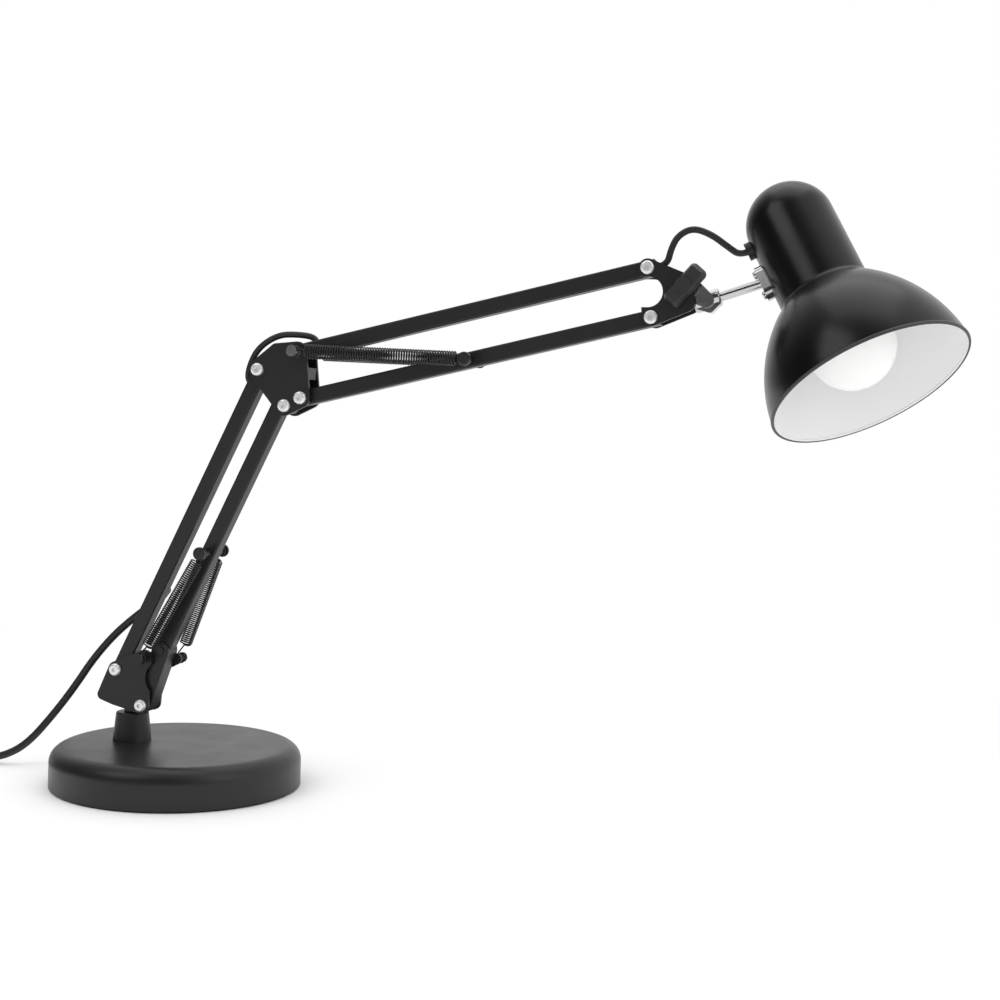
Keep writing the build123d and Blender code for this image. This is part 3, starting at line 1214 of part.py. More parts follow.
# The rest of the cord in one coil of two layers, tied, with the plug beside it
COIL_LOW = TIE_THICKNESS + TIE_GAP + CORD_DIAMETER / 2
COIL_CENTRE_Y = SWITCH_Y - COIL_OUTER_RADIUS
COIL_INNER_RADIUS = COIL_OUTER_RADIUS - COIL_TURNS_PER_LAYER * COIL_STEP
quarters = int(4 * COIL_TURNS_PER_LAYER)
far_side = Vector(switch_far_x + CORD_GRIP, SWITCH_Y, SWITCH_CORD_HEIGHT)
far_exit = far_side - Vector(CORD_GRIP + CORD_EXIT_RUN, 0, 0)
coil_points = [far_side, far_exit]
coil_tangents = [Vector(-1, 0, 0), Vector(-1, 0, 0)]
for quarter in range(2 * quarters + 3):
    angle = pi / 2 + quarter * pi / 2
    if quarter <= quarters:
        radius = COIL_OUTER_RADIUS - COIL_STEP * quarter / 4
        lift = 0
    elif quarter < quarters + 2:
        radius = COIL_INNER_RADIUS - COIL_STEP / 4
        lift = COIL_STEP / 2
    else:
        radius = COIL_INNER_RADIUS + COIL_STEP * (quarter - quarters - 2) / 4
        lift = COIL_STEP
    outward = Vector(cos(angle), sin(angle), 0)
    turning = Vector(-sin(angle), cos(angle), 0)
    slope = -1 if 0 < quarter <= quarters else 1 if quarters + 2 <= quarter < 2 * quarters + 2 else 0
    rising = COIL_STEP / pi if quarter == quarters + 1 else 0
    coil_points.append(Vector(COIL_CENTRE_X, COIL_CENTRE_Y, COIL_LOW + lift) + outward * radius)
    heading = turning * radius + outward * slope * COIL_STEP / (2 * pi) + Vector(0, 0, rising)
    coil_tangents.append(heading.normalized())
plug_entry = Vector(PLUG_X + CORD_GRIP, coil_points[-1].Y, coil_points[-1].Z)
coil_points.append(plug_entry)
coil_tangents.append(Vector(1, 0, 0))
with BuildPart() as cord_coil:
    with BuildLine() as coil_route:
        Line(coil_points[0], coil_points[1])
        arcs_through(coil_points[1:-1], coil_tangents[1:-1])
        Line(coil_points[-2], coil_points[-1])
    coil_wire = coil_route.wire()
    with BuildSketch(Plane(origin=coil_wire @ 0, z_dir=coil_wire % 0)):
        Circle(CORD_DIAMETER / 2)
    sweep(path=coil_wire)
coil_volume = pi * CORD_DIAMETER**2 / 4 * coil_wire.length
print(f"cord_coil: {coil_wire.length:.0f} mm, volume {cord_coil.part.volume:.0f} of {coil_volume:.0f} mm3")
print(f"  gap to itself {least_gap(coil_wire, CORD_DIAMETER, COIL_GAP_SAMPLES):.2f} mm")
keep(cord_coil, "cord_coil")

with BuildPart() as cord_tie:
    bundle_near = COIL_INNER_RADIUS + COIL_STEP / 4 - CORD_DIAMETER / 2 - TIE_GAP
    bundle_far = COIL_OUTER_RADIUS - COIL_STEP / 4 + CORD_DIAMETER / 2 + TIE_GAP
    bundle_middle = (COIL_CENTRE_X - (bundle_near + bundle_far) / 2, COIL_LOW + COIL_STEP / 2)
    bundle = (bundle_far - bundle_near, COIL_STEP + CORD_DIAMETER + 2 * TIE_GAP)
    with BuildSketch(at_y(COIL_CENTRE_Y)):
        with Locations(bundle_middle):
            wrapped = [side + 2 * TIE_THICKNESS for side in bundle]
            RectangleRounded(*wrapped, TIE_CORNER + TIE_THICKNESS)
            RectangleRounded(*bundle, TIE_CORNER, mode=Mode.SUBTRACT)
    extrude(amount=TIE_WIDTH / 2, both=True)
keep(cord_tie, "cord_tie")

with BuildPart() as mains_plug:
    plug_back = Plane(origin=(PLUG_X, plug_entry.Y, plug_entry.Z), z_dir=(1, 0, 0))
    plug_front = plug_back.offset(PLUG_LENGTH)
    with BuildSketch(plug_back):
        RectangleRounded(2 * plug_entry.Z, PLUG_WIDTH, PLUG_EDGE)
    extrude(amount=PLUG_LENGTH)
    with BuildSketch(plug_back):
        Circle(CORD_DIAMETER / 2 + RUNNING_FIT)
    extrude(amount=CORD_GRIP, mode=Mode.SUBTRACT)
    with BuildSketch(plug_front):
        with GridLocations(1, PLUG_PIN_SPACING, 1, 2):
            Circle(PLUG_PIN_DIAMETER / 2 + RUNNING_FIT)
    extrude(amount=-PLUG_PIN_SOCKET, mode=Mode.SUBTRACT)
keep(mains_plug, "mains_plug")

with BuildPart() as plug_pins:
    with BuildSketch(plug_front.offset(-PLUG_PIN_SOCKET)):
        with GridLocations(1, PLUG_PIN_SPACING, 1, 2):
            Circle(PLUG_PIN_DIAMETER / 2)
    extrude(amount=PLUG_PIN_SOCKET + PLUG_PIN_LENGTH)
    fillet(plug_pins.faces().sort_by(Axis.X)[-2:].edges(), PLUG_PIN_DIAMETER / 4)
keep(plug_pins, "plug_pins")
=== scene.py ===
import json
import math

import bmesh
import bpy
import numpy as np
from mathutils import Matrix, Vector


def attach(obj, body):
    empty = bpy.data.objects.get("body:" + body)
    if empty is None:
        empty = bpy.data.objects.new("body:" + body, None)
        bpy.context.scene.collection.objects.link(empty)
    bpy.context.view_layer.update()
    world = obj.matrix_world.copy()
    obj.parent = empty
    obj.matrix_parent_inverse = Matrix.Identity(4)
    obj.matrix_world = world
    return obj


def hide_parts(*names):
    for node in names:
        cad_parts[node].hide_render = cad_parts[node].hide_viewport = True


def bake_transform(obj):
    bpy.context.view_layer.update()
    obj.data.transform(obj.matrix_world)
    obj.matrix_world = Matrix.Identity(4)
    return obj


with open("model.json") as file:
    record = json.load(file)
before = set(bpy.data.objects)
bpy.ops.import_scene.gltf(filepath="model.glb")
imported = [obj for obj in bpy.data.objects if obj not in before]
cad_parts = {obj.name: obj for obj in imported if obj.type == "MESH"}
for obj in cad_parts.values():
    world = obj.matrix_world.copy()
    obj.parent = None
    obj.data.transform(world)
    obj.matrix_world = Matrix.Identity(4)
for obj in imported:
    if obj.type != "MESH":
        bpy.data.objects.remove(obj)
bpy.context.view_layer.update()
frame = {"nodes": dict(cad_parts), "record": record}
scene = bpy.context.scene
MM = 0.001


def stepped(start, length, angle):
    """Point of the arm plane at a length and an angle, in degrees, from another."""
    turn = math.radians(angle)
    return (start[0] + length * math.cos(turn), start[1] + length * math.sin(turn))


def flat(point, y=0.0):
    """Point (x, z) of the arm plane in space."""
    return Vector((point[0], y, point[1]))


def across(angle):
    """Upward direction square to a tube at an angle in degrees."""
    turn = math.radians(angle)
    return flat((-math.sin(turn), math.cos(turn)))


# Places of the CAD part, in millimetres and degrees: pivots and points of the arm plane are (x, z)
LOWER_ANGLE = 64.1
UPPER_ANGLE = 13.4
LOWER_ARM = 245.0
UPPER_ARM = 253.0
LOWER_PIVOT = (-45.5, 82.0)
LOWER_FRONT_PIVOT = stepped(LOWER_PIVOT, 32.6, -50.0)
ELBOW_REAR = stepped(LOWER_PIVOT, LOWER_ARM, LOWER_ANGLE)
ELBOW_TOP = (ELBOW_REAR[0] + 29.5, ELBOW_REAR[1] + 13.1)
ELBOW_BOTTOM = stepped(ELBOW_TOP, 32.5, -84.0)
HEAD_UPPER = stepped(ELBOW_TOP, UPPER_ARM, UPPER_ANGLE)
FRONT_AXIS = stepped(LOWER_FRONT_PIVOT, 6.0, LOWER_ANGLE + 90)
LOWER_PIN = stepped(FRONT_AXIS, 123.5, LOWER_ANGLE)
UPPER_PIN = stepped(ELBOW_BOTTOM, 125.0, UPPER_ANGLE)
FRONT_HOOK = (-22.5, 92.0)
BACK_HOOK = (-6.5, 90.0)
CORD_EXIT = stepped(LOWER_PIVOT, 65.0, LOWER_ANGLE)
STEM_ANGLE = math.radians(18.0)
STEM = flat((math.cos(STEM_ANGLE), math.sin(STEM_ANGLE)))
STEM_REACH = 60.7
BARREL_END = flat((384.5, 356.3))
HEAD_TILT = math.radians(28.6)
HEAD_ROLL = math.radians(-19.6)
HEAD_AXIS = Vector(
    (
        math.sin(HEAD_TILT) * math.cos(HEAD_ROLL),
        math.sin(HEAD_ROLL),
        -math.cos(HEAD_TILT) * math.cos(HEAD_ROLL),
    )
)
HEAD_CENTRE = BARREL_END + STEM * STEM_REACH
HEAD_OUTWARD = (STEM - HEAD_AXIS * STEM.dot(HEAD_AXIS)).normalized()

# Camera at the photograph's place
CAMERA_PLACE = Vector((0.52494, -1.01687, 0.26507))
azimuth, pitch, roll = math.radians(15.707), math.radians(-2.588), math.radians(1.753)
forward = Vector(
    (-math.sin(azimuth) * math.cos(pitch), math.cos(azimuth) * math.cos(pitch), math.sin(pitch))
)
right = Vector((math.cos(azimuth), math.sin(azimuth), 0))
up = right.cross(forward)
right_rolled = right * math.cos(roll) + up * math.sin(roll)
up_rolled = up * math.cos(roll) - right * math.sin(roll)
camera_data = bpy.data.cameras.new("camera")
camera_data.sensor_width = 36.0
camera_data.lens = 55.8
camera_data.clip_start = 0.05
camera_data.clip_end = 50.0
camera = bpy.data.objects.new("camera", camera_data)
scene.collection.objects.link(camera)
turned = Matrix((right_rolled, up_rolled, -forward)).transposed().to_4x4()
camera.matrix_world = Matrix.Translation(CAMERA_PLACE) @ turned
scene.camera = camera
scene.view_settings.view_transform = "Standard"


# Steps shared by the node trees
def worked_out(tree, operation, first, second):
    """Output of a maths node with two linked outputs, or with a number as the second."""
    node = tree.nodes.new("ShaderNodeMath")
    node.operation = operation
    tree.links.new(first, node.inputs[0])
    if isinstance(second, float):
        node.inputs[1].default_value = second
    else:
        tree.links.new(second, node.inputs[1])
    return node.outputs["Value"]


def mapped(tree, value, before, after, smooth):
    """Output of a node that maps one span to another, in a straight line or with soft ends."""
    node = tree.nodes.new("ShaderNodeMapRange")
    if smooth:
        node.interpolation_type = "SMOOTHSTEP"
    for name, limit in zip(("From Min", "From Max", "To Min", "To Max"), (*before, *after)):
        node.inputs[name].default_value = limit
    tree.links.new(value, node.inputs["Value"])
    return node.outputs["Result"]


def mixed(tree, share, one, two, outlet):
    """Mix two shaders by a share and send the result to the tree's outlet."""
    node = tree.nodes.new("ShaderNodeMixShader")
    tree.links.new(share, node.inputs["Fac"])
    tree.links.new(one, node.inputs[1])
    tree.links.new(two, node.inputs[2])
    tree.links.new(node.outputs["Shader"], tree.nodes[outlet].inputs["Surface"])


def noise(tree, place, scale, detail):
    """Output of a noise texture at a place."""
    node = tree.nodes.new("ShaderNodeTexNoise")
    node.inputs["Scale"].default_value = scale
    node.inputs["Detail"].default_value = detail
    tree.links.new(place, node.inputs["Vector"])
    return node.outputs["Fac"]


def seen_directly(tree):
    """Light path node, and an output that is 1 for camera, glossy and transmission rays, else 0."""
    ray = tree.nodes.new("ShaderNodeLightPath")
    total = ray.outputs["Is Camera Ray"]
    for kind in ("Is Glossy Ray", "Is Transmission Ray"):
        total = worked_out(tree, "MAXIMUM", total, ray.outputs[kind])
    return ray, total


# Materials
SHEEN_SCALE = 40.0
SHEEN_DETAIL = 3.0
SHEEN_SPAN = (0.3, 0.7)
GRAIN_DETAIL = 2.0
GRAIN_DEPTH = 0.0002


def finish_of(name, colour, roughness, metallic=0.0, grain=0.0, grain_scale=900.0, uneven=0.0, shine=0.5):
    """Procedural finish: a plain colour, a slightly uneven sheen and a fine grain."""
    made = bpy.data.materials.new(name)
    made.use_nodes = True
    tree = made.node_tree
    shader = tree.nodes["Principled BSDF"]
    shader.inputs["Base Color"].default_value = (*colour, 1.0)
    shader.inputs["Metallic"].default_value = metallic
    shader.inputs["Roughness"].default_value = roughness
    shader.inputs["Specular IOR Level"].default_value = shine
    place = tree.nodes.new("ShaderNodeTexCoord").outputs["Object"]
    if uneven:
        cloud = noise(tree, place, SHEEN_SCALE, SHEEN_DETAIL)
        limits = (roughness - uneven, roughness + uneven)
        tree.links.new(mapped(tree, cloud, SHEEN_SPAN, limits, False), shader.inputs["Roughness"])
    if grain:
        bump = tree.nodes.new("ShaderNodeBump")
        bump.inputs["Strength"].default_value = grain
        bump.inputs["Distance"].default_value = GRAIN_DEPTH
        tree.links.new(noise(tree, place, grain_scale, GRAIN_DETAIL), bump.inputs["Height"])
        tree.links.new(bump.outputs["Normal"], shader.inputs["Normal"])
    return made


PAINT = finish_of(
    "satin_black_paint", (0.012, 0.012, 0.0125), 0.36, grain=0.12, grain_scale=1400.0, uneven=0.03, shine=0.38
)
SHADE_OUT = finish_of(
    "shade_black_paint", (0.003, 0.003, 0.0032), 0.25, grain=0.06, grain_scale=1600.0, uneven=0.03, shine=0.34
)
SHADE_IN = finish_of("shade_white_enamel", (0.9, 0.9, 0.9), 0.38, uneven=0.04)
RIM_EDGE = finish_of("rim_bare_edge", (0.03, 0.03, 0.03), 0.4, grain=0.05)
CHROME = finish_of("bright_plating", (0.6, 0.6, 0.61), 0.18, metallic=1.0, uneven=0.04)
SPRING = finish_of("blackened_spring_wire", (0.035, 0.035, 0.037), 0.34, metallic=0.7, uneven=0.05)
PLASTIC = finish_of(
    "black_moulding", (0.016, 0.016, 0.017), 0.5, grain=0.2, grain_scale=1100.0, uneven=0.04
)
RUBBER = finish_of("cord_sheath", (0.012, 0.012, 0.0125), 0.48, grain=0.1, grain_scale=800.0, uneven=0.05)
PAD = finish_of("soft_pad", (0.02, 0.02, 0.02), 0.85, grain=0.4, grain_scale=700.0)
IRON = finish_of("cast_weight", (0.09, 0.085, 0.08), 0.7, metallic=0.4, grain=0.5, grain_scale=300.0)
NYLON = finish_of("pivot_bush", (0.03, 0.03, 0.03), 0.45, uneven=0.05)
ZINC = finish_of("zinc_plated_screws", (0.82, 0.82, 0.83), 0.28, metallic=0.6, uneven=0.05)
NICKEL = finish_of("nickel_plate", (0.7, 0.66, 0.58), 0.25, metallic=1.0, uneven=0.05)
OPAL = finish_of("opal_bulb", (0.86, 0.86, 0.855), 0.22, uneven=0.03)
# A faint glow is painted on the opal glass, which brightens the bulb
opal_glow_shader = OPAL.node_tree.nodes["Principled BSDF"]
opal_glow_shader.inputs["Emission Color"].default_value = (1.0, 0.99, 0.97, 1.0)
opal_glow_shader.inputs["Emission Strength"].default_value = 0.1

by_slot = {
    "black_paint": PAINT,
    "shade_paint": SHADE_OUT,
    "cast_weight": IRON,
    "soft_pad": PAD,
    "bright_steel": CHROME,
    "spring_steel": SPRING,
    "bush_plastic": NYLON,
    "black_plastic": PLASTIC,
    "cord_sheath": RUBBER,
    "plated_brass": NICKEL,
    "opal_glass": OPAL,
}
ZINC_NODES = ("lower_pivot_screws", "elbow_screws", "head_screws")
slot_of = {entry["node"]: entry["material_slot"] for entry in frame["record"]["subparts"]}
for name, node in frame["nodes"].items():
    node.data.materials.clear()
    node.data.materials.append(ZINC if name in ZINC_NODES else by_slot[slot_of[name]])


# Pieces made here; a seam is merged over a hundredth of a millimetre, which also closes a spun pole
SEAM = 1e-5


def finished(name, bm, *materials):
    """Object at the origin from a closed bmesh, with merged seams and faces that point outwards."""
    bmesh.ops.remove_doubles(bm, verts=bm.verts, dist=SEAM)
    bmesh.ops.recalc_face_normals(bm, faces=bm.faces)
    for face in bm.faces:
        face.smooth = True
    data = bpy.data.meshes.new(name)
    bm.to_mesh(data)
    bm.free()
    for material in materials:
        data.materials.append(material)
    made = bpy.data.objects.new(name, data)
    scene.collection.objects.link(made)
    return made


def curve_of(name, kind, points):
    """Curve with one spline of a kind, with its control points in millimetres."""
    curve = bpy.data.curves.new(name, "CURVE")
    curve.dimensions = "3D"
    spline = curve.splines.new(kind)
    spline.points.add(len(points) - 1)
    for knot, point in zip(spline.points, points):
        knot.co = (*[value * MM for value in point], 1.0)
    return curve, spline


def mesh_of(curve):
    """Mesh of a curve, which is then removed."""
    holder = bpy.data.objects.new("route", curve)
    scene.collection.objects.link(holder)
    bpy.context.view_layer.update()
    mesh = bpy.data.meshes.new_from_object(holder.evaluated_get(bpy.context.evaluated_depsgraph_get()))
    bpy.data.objects.remove(holder)
    bpy.data.curves.remove(curve)
    return mesh


def drawn(name, points, radius, sides, material):
    """Closed round wire or cord along points, in millimetres, with flat ends."""
    curve, _ = curve_of(name, "POLY", points)
    curve.bevel_depth = radius * MM
    curve.bevel_resolution = sides // 2 - 2
    curve.use_fill_caps = True
    round_wire = mesh_of(curve)
    bm = bmesh.new()
    bm.from_mesh(round_wire)
    bpy.data.meshes.remove(round_wire)
    for face in bm.faces:
        face.material_index = 0
    return finished(name, bm, material)


def spline_points(points, pace):
    """Evenly spaced points, in millimetres, along a smooth spline through a route's control points."""
    curve, spline = curve_of("route", "NURBS", points)
    spline.order_u = 3
    spline.use_endpoint_u = True
    spline.resolution_u = 24
    read = mesh_of(curve)
    line = np.array([v.co for v in read.vertices], float) / MM
    bpy.data.meshes.remove(read)
    return even(line, pace)


def even(line, pace):
    """The same line with points a steady pace apart."""
    line = np.array([tuple(p) for p in line], float)
    steps = np.linalg.norm(np.diff(line, axis=0), axis=1)
    keep = np.concatenate(([True], steps > 1e-6))
    line = line[keep]
    along = np.concatenate(([0.0], np.cumsum(np.linalg.norm(np.diff(line, axis=0), axis=1))))
    count = max(4, int(round(along[-1] / pace)) + 1)
    places = np.linspace(0, along[-1], count)
    return np.stack([np.interp(places, along, line[:, axis]) for axis in range(3)], axis=1)


def ramp(share):
    """Rise from 0 to 1 with soft ends."""
    return share * share * (3 - 2 * share)


# Mains cord: from the rear arm to the table, to the switch, and on to the coil and the plug
CORD_RADIUS = 2.8
CORD_SIDES = 20
CORD_PACE = 1.2
ROUTE = [
    (-26.0, 22.0, 133.0),
    (-45.0, 23.5, 120.0),
    (-65.0, 22.5, 103.0),
    (-82.0, 21.0, 83.0),
    (-96.0, 20.0, 62.0),
    (-111.0, 17.0, 41.0),
    (-130.0, 10.0, 16.5),
    (-147.0, 4.0, 6.5),
]
SWITCH_Y = 3.0
SWITCH_CORD_Z = 5.0
TUBE_SIDE_Y = 4.5
CORD_STRAIGHT_OUT = Vector((0, 9.5, 0))
SWITCH_STRAIGHT_IN = Vector((15.5, 0, 0))
cord_start = flat(CORD_EXIT, TUBE_SIDE_Y)
upper_split = (Vector(ROUTE[1]) + Vector(ROUTE[2])) / 2
lower_split = (Vector(ROUTE[4]) + Vector(ROUTE[5])) / 2
switch_near = Vector((-178.0, SWITCH_Y, SWITCH_CORD_Z))
upper_line = spline_points([cord_start, cord_start + CORD_STRAIGHT_OUT, *ROUTE[:2], upper_split], CORD_PACE)
lower_line = spline_points([upper_split, *ROUTE[2:5], lower_split], CORD_PACE)
floor_line = spline_points(
    [lower_split, *ROUTE[5:], switch_near + SWITCH_STRAIGHT_IN, switch_near], CORD_PACE
)

cord_upper = drawn("cord_upper", upper_line, CORD_RADIUS, CORD_SIDES, RUBBER)
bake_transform(cord_upper)
cord_lower = drawn("cord_lower", lower_line, CORD_RADIUS, CORD_SIDES, RUBBER)
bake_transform(cord_lower)
cord_floor = drawn("cord_floor", floor_line, CORD_RADIUS, CORD_SIDES, RUBBER)
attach(cord_floor, "base")

COIL_CENTRE = Vector((-268.0, -39.0, 3.9))
COIL_OUTER = 42.0
COIL_STEP = 6.6
COIL_TURNS = 3.5
CLIMB_TURNS = 0.5
COIL_SIDES = 16
COIL_PACE = 2.0
TURN_POINTS = 40
SWITCH_FAR_X = -224.0
DROP_START_X = -239.5
DROP_RUN = 28.5
DROP_POINTS = 13
PLUG_CORD_X = -222.0
coil_line = [(SWITCH_FAR_X, SWITCH_Y, SWITCH_CORD_Z), (DROP_START_X, SWITCH_Y, SWITCH_CORD_Z)]
for share in np.linspace(0, 1, DROP_POINTS)[1:-1]:
    height = SWITCH_CORD_Z + (COIL_CENTRE.z - SWITCH_CORD_Z) * ramp(share)
    coil_line.append((DROP_START_X - DROP_RUN * share, SWITCH_Y, height))
inner = COIL_OUTER - COIL_TURNS * COIL_STEP
all_turns = 2 * COIL_TURNS + CLIMB_TURNS
for turn in np.linspace(0, all_turns, int(all_turns * TURN_POINTS) + 1):
    if turn <= COIL_TURNS:
        radius, rise = COIL_OUTER - COIL_STEP * turn, 0.0
    elif turn < COIL_TURNS + CLIMB_TURNS:
        share = (turn - COIL_TURNS) / CLIMB_TURNS
        radius = inner - COIL_STEP / 4 * math.sin(math.pi * share)
        rise = COIL_STEP * ramp(share)
    else:
        radius, rise = inner + COIL_STEP * (turn - COIL_TURNS - CLIMB_TURNS), COIL_STEP
    angle = math.pi / 2 + 2 * math.pi * turn
    coil_line.append(
        (
            COIL_CENTRE.x + radius * math.cos(angle),
            COIL_CENTRE.y + radius * math.sin(angle),
            COIL_CENTRE.z + rise,
        )
    )
coil_line.append((PLUG_CORD_X, coil_line[-1][1], coil_line[-1][2]))
coil_line = even(coil_line, COIL_PACE)
coil = drawn("cord_coil_wound", coil_line, CORD_RADIUS, COIL_SIDES, RUBBER)
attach(coil, "base")
for piece, node in (
    (cord_upper, "mains_cord_upper"),
    (cord_lower, "mains_cord_lower"),
    (cord_floor, "mains_cord_floor"),
    (coil, "cord_coil"),
):
    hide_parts(node)

# Leads over the elbow and to the lamp head
LEAD_RADIUS = 2.2
LEAD_SIDES = 16
LEAD_PACE = 0.8
LEAD_HOLE_PLACE = 12.0
LEAD_RISE_REAR = 3.2
LEAD_RISE_FRONT = 3.6
TUBE_TOP = 4.5
ELBOW_ROUTE = [(50.6, 305.0), (57.0, 318.0), (72.0, 327.5), (87.5, 328.0)]
lower_normal = across(LOWER_ANGLE)
upper_normal = across(UPPER_ANGLE)
lead_out = flat(stepped(ELBOW_REAR, -LEAD_HOLE_PLACE, LOWER_ANGLE)) + lower_normal * TUBE_TOP
lead_in = flat(stepped(ELBOW_TOP, LEAD_HOLE_PLACE, UPPER_ANGLE)) + upper_normal * TUBE_TOP
elbow_line = spline_points(
    [
        lead_out,
        lead_out + lower_normal * LEAD_RISE_REAR,
        *[flat(point) for point in ELBOW_ROUTE],
        lead_in + upper_normal * LEAD_RISE_FRONT,
        lead_in,
    ],
    LEAD_PACE,
)
middle = len(elbow_line) // 2
elbow_lead_rear = drawn("elbow_lead_rear", elbow_line[: middle + 1], LEAD_RADIUS, LEAD_SIDES, RUBBER)
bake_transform(elbow_lead_rear)
elbow_lead_front = drawn("elbow_lead_front", elbow_line[middle:], LEAD_RADIUS, LEAD_SIDES, RUBBER)
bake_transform(elbow_lead_front)

HEAD_ROUTE = [
    (348.5, 0.0, 377.0),
    (350.5, 0.0, 387.0),
    (354.5, 1.0, 396.0),
    (364.0, 3.0, 401.5),
    (376.0, 6.0, 397.5),
    (387.0, 9.0, 389.5),
]
HEAD_LEAD_CUTS = (0.06, 0.78)
TUBE_MOUTH_PLACE = 3.7
GROMMET_PLACE = -31.0
GROMMET_RADIUS = 32.5
GROMMET_RUN_OUT = 4.5
GROMMET_RUN_IN = 4.7
tube_mouth = flat(stepped(HEAD_UPPER, TUBE_MOUTH_PLACE, UPPER_ANGLE))
grommet_mouth = HEAD_CENTRE + HEAD_AXIS * GROMMET_PLACE - HEAD_OUTWARD * GROMMET_RADIUS
head_line = spline_points(
    [
        tube_mouth,
        *HEAD_ROUTE,
        grommet_mouth - HEAD_OUTWARD * GROMMET_RUN_OUT,
        grommet_mouth + HEAD_OUTWARD * GROMMET_RUN_IN,
    ],
    LEAD_PACE,
)
cuts = [0, *[int(len(head_line) * share) for share in HEAD_LEAD_CUTS], len(head_line) - 1]
pairs = [("upper_top_arm", "head_bracket"), ("head_bracket", "head_joint"), ("head_joint", "lamp_head")]
head_leads = []
for number, (first, last, pair) in enumerate(zip(cuts, cuts[1:], pairs), 1):
    stretch = drawn(f"head_lead_{number}", head_line[first : last + 1], LEAD_RADIUS, LEAD_SIDES, RUBBER)
    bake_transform(stretch)
    head_leads.append(stretch)
for piece in (elbow_lead_rear, elbow_lead_front):
    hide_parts("elbow_lead")
for piece in head_leads:
    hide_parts("head_lead")

# Springs: close-wound coils with a straight wire and an eye at each end
SPRING_Y = 15.0
UPPER_SPRING_Y = 15.7
EYE_RADIUS = 3.7
WIRE_SIDES = 8
WIRE_PACE = 1.1
EYE_POINTS = 22
TURN_OF_WIRE_POINTS = 14
END_TURN_SHARE = 0.12
END_TURN_GROWTH = 1.6 * math.pi


def wound(begin, finish, first, last, turns, outer, wire):
    """Centreline of a spring from post to post; the coil runs from first to last along it."""
    axis = (finish - begin).normalized()
    depth = Vector((0, 1, 0))
    side = depth.cross(axis)
    mean = (outer - wire) / 2
    whole = 2 * math.pi * turns

    def eye(centre, one, two):
        return [
            centre + side * (EYE_RADIUS * math.cos(angle)) + axis * (EYE_RADIUS * math.sin(angle))
            for angle in np.linspace(one * math.pi, two * math.pi, EYE_POINTS)
        ]

    line = eye(begin, 0.5, -1.0)
    for angle in np.linspace(0, whole, turns * TURN_OF_WIRE_POINTS + 1):
        along = first + (last - first) * angle / whole
        grow = min(1.0, END_TURN_SHARE + min(angle, whole - angle) / END_TURN_GROWTH)
        here = angle + math.pi
        line.append(begin + axis * along + (side * math.cos(here) + depth * math.sin(here)) * mean * grow)
    line += eye(finish, 1.0, -0.5)
    return even(line, WIRE_PACE)


# Each lower spring is cut in three, at set shares of the way from its hook to its pin
SPRING_CUTS = (0.0, 0.13, 0.38, 1.0)
LOWER_WIRE = 1.1
LOWER_COIL_START = 10.5
LOWER_COIL_TAIL = 6.5
for name, hook, y in (("front", FRONT_HOOK, -SPRING_Y), ("back", BACK_HOOK, SPRING_Y)):
    begin, finish = flat(hook, y), flat(LOWER_PIN, y)
    span = finish - begin
    coil_end = math.dist(hook, LOWER_PIN) - LOWER_COIL_TAIL
    line = wound(begin, finish, LOWER_COIL_START, coil_end, turns=46, outer=9.6, wire=LOWER_WIRE)
    shares = (line - np.array(begin)) @ np.array(span) / span.length_squared
    marks = [0, *[int(np.argmax(shares > share)) for share in SPRING_CUTS[1:3]], len(line) - 1]
    for number in range(3):
        stretch = line[marks[number] : marks[number + 1] + 1]
        piece = drawn(f"lower_spring_{name}_{number + 1}", stretch, LOWER_WIRE / 2, WIRE_SIDES, SPRING)
        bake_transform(piece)
        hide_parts("lower_springs")

UPPER_WIRE = 1.05
UPPER_COIL = (8.0, 119.5)
for name, y in (("front", -UPPER_SPRING_Y), ("back", UPPER_SPRING_Y)):
    begin, finish = flat(ELBOW_TOP, y), flat(UPPER_PIN, y)
    line = wound(begin, finish, *UPPER_COIL, turns=60, outer=10.4, wire=UPPER_WIRE)
    piece = drawn(f"upper_spring_{name}", line, UPPER_WIRE / 2, WIRE_SIDES, SPRING)
    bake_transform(piece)
    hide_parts("upper_springs", "upper_spring_hooks")

# Shade: black outside, white inside, with a bead at the rim
WALL = 1.2
NECK_RADIUS = 29.0
DOME_START = -34.2
RIM_PLACE = 90.6
BELL_CENTRE = (-33.9, 99.2)
BELL_RADIUS = 99.5
BELL_POINTS = 60
NECK_EASE_OUT = 2.4
NECK_EASE_IN = 3.0
EASE_POINTS = 9
BEAD = 1.1
BEAD_OVERLAP = 0.9
BEAD_POINTS = 19
SHADE_STEPS = 160
QUARTER = np.linspace(0.0, math.pi / 2, 20)


def dome_arc(radius):
    """Points of the dome from its top to the neck, as (radius, place)."""
    return [(radius * math.sin(t), DOME_START - radius * math.cos(t)) for t in QUARTER]


def bell_arc(radius, neck):
    """Points of the bell's circle arc from the neck to the rim, as (radius, place)."""
    first = math.acos((neck - BELL_CENTRE[0]) / radius)
    last = math.asin((BELL_CENTRE[1] - RIM_PLACE) / radius)
    return [
        (BELL_CENTRE[0] + radius * math.cos(t), BELL_CENTRE[1] - radius * math.sin(t))
        for t in np.linspace(first, last, BELL_POINTS)
    ]


def eased(curve, reach):
    """Curve that leaves a straight neck at its first point, with that corner eased over a reach."""
    corner = np.array(curve[0])
    far = next(i for i, p in enumerate(curve) if math.dist(p, corner) > reach)
    lead = corner - np.array((0.0, reach))
    bend = [
        tuple((1 - t) ** 2 * lead + 2 * t * (1 - t) * corner + t**2 * np.array(curve[far]))
        for t in np.linspace(0, 1, EASE_POINTS)
    ]
    return bend + list(curve[far + 1 :])


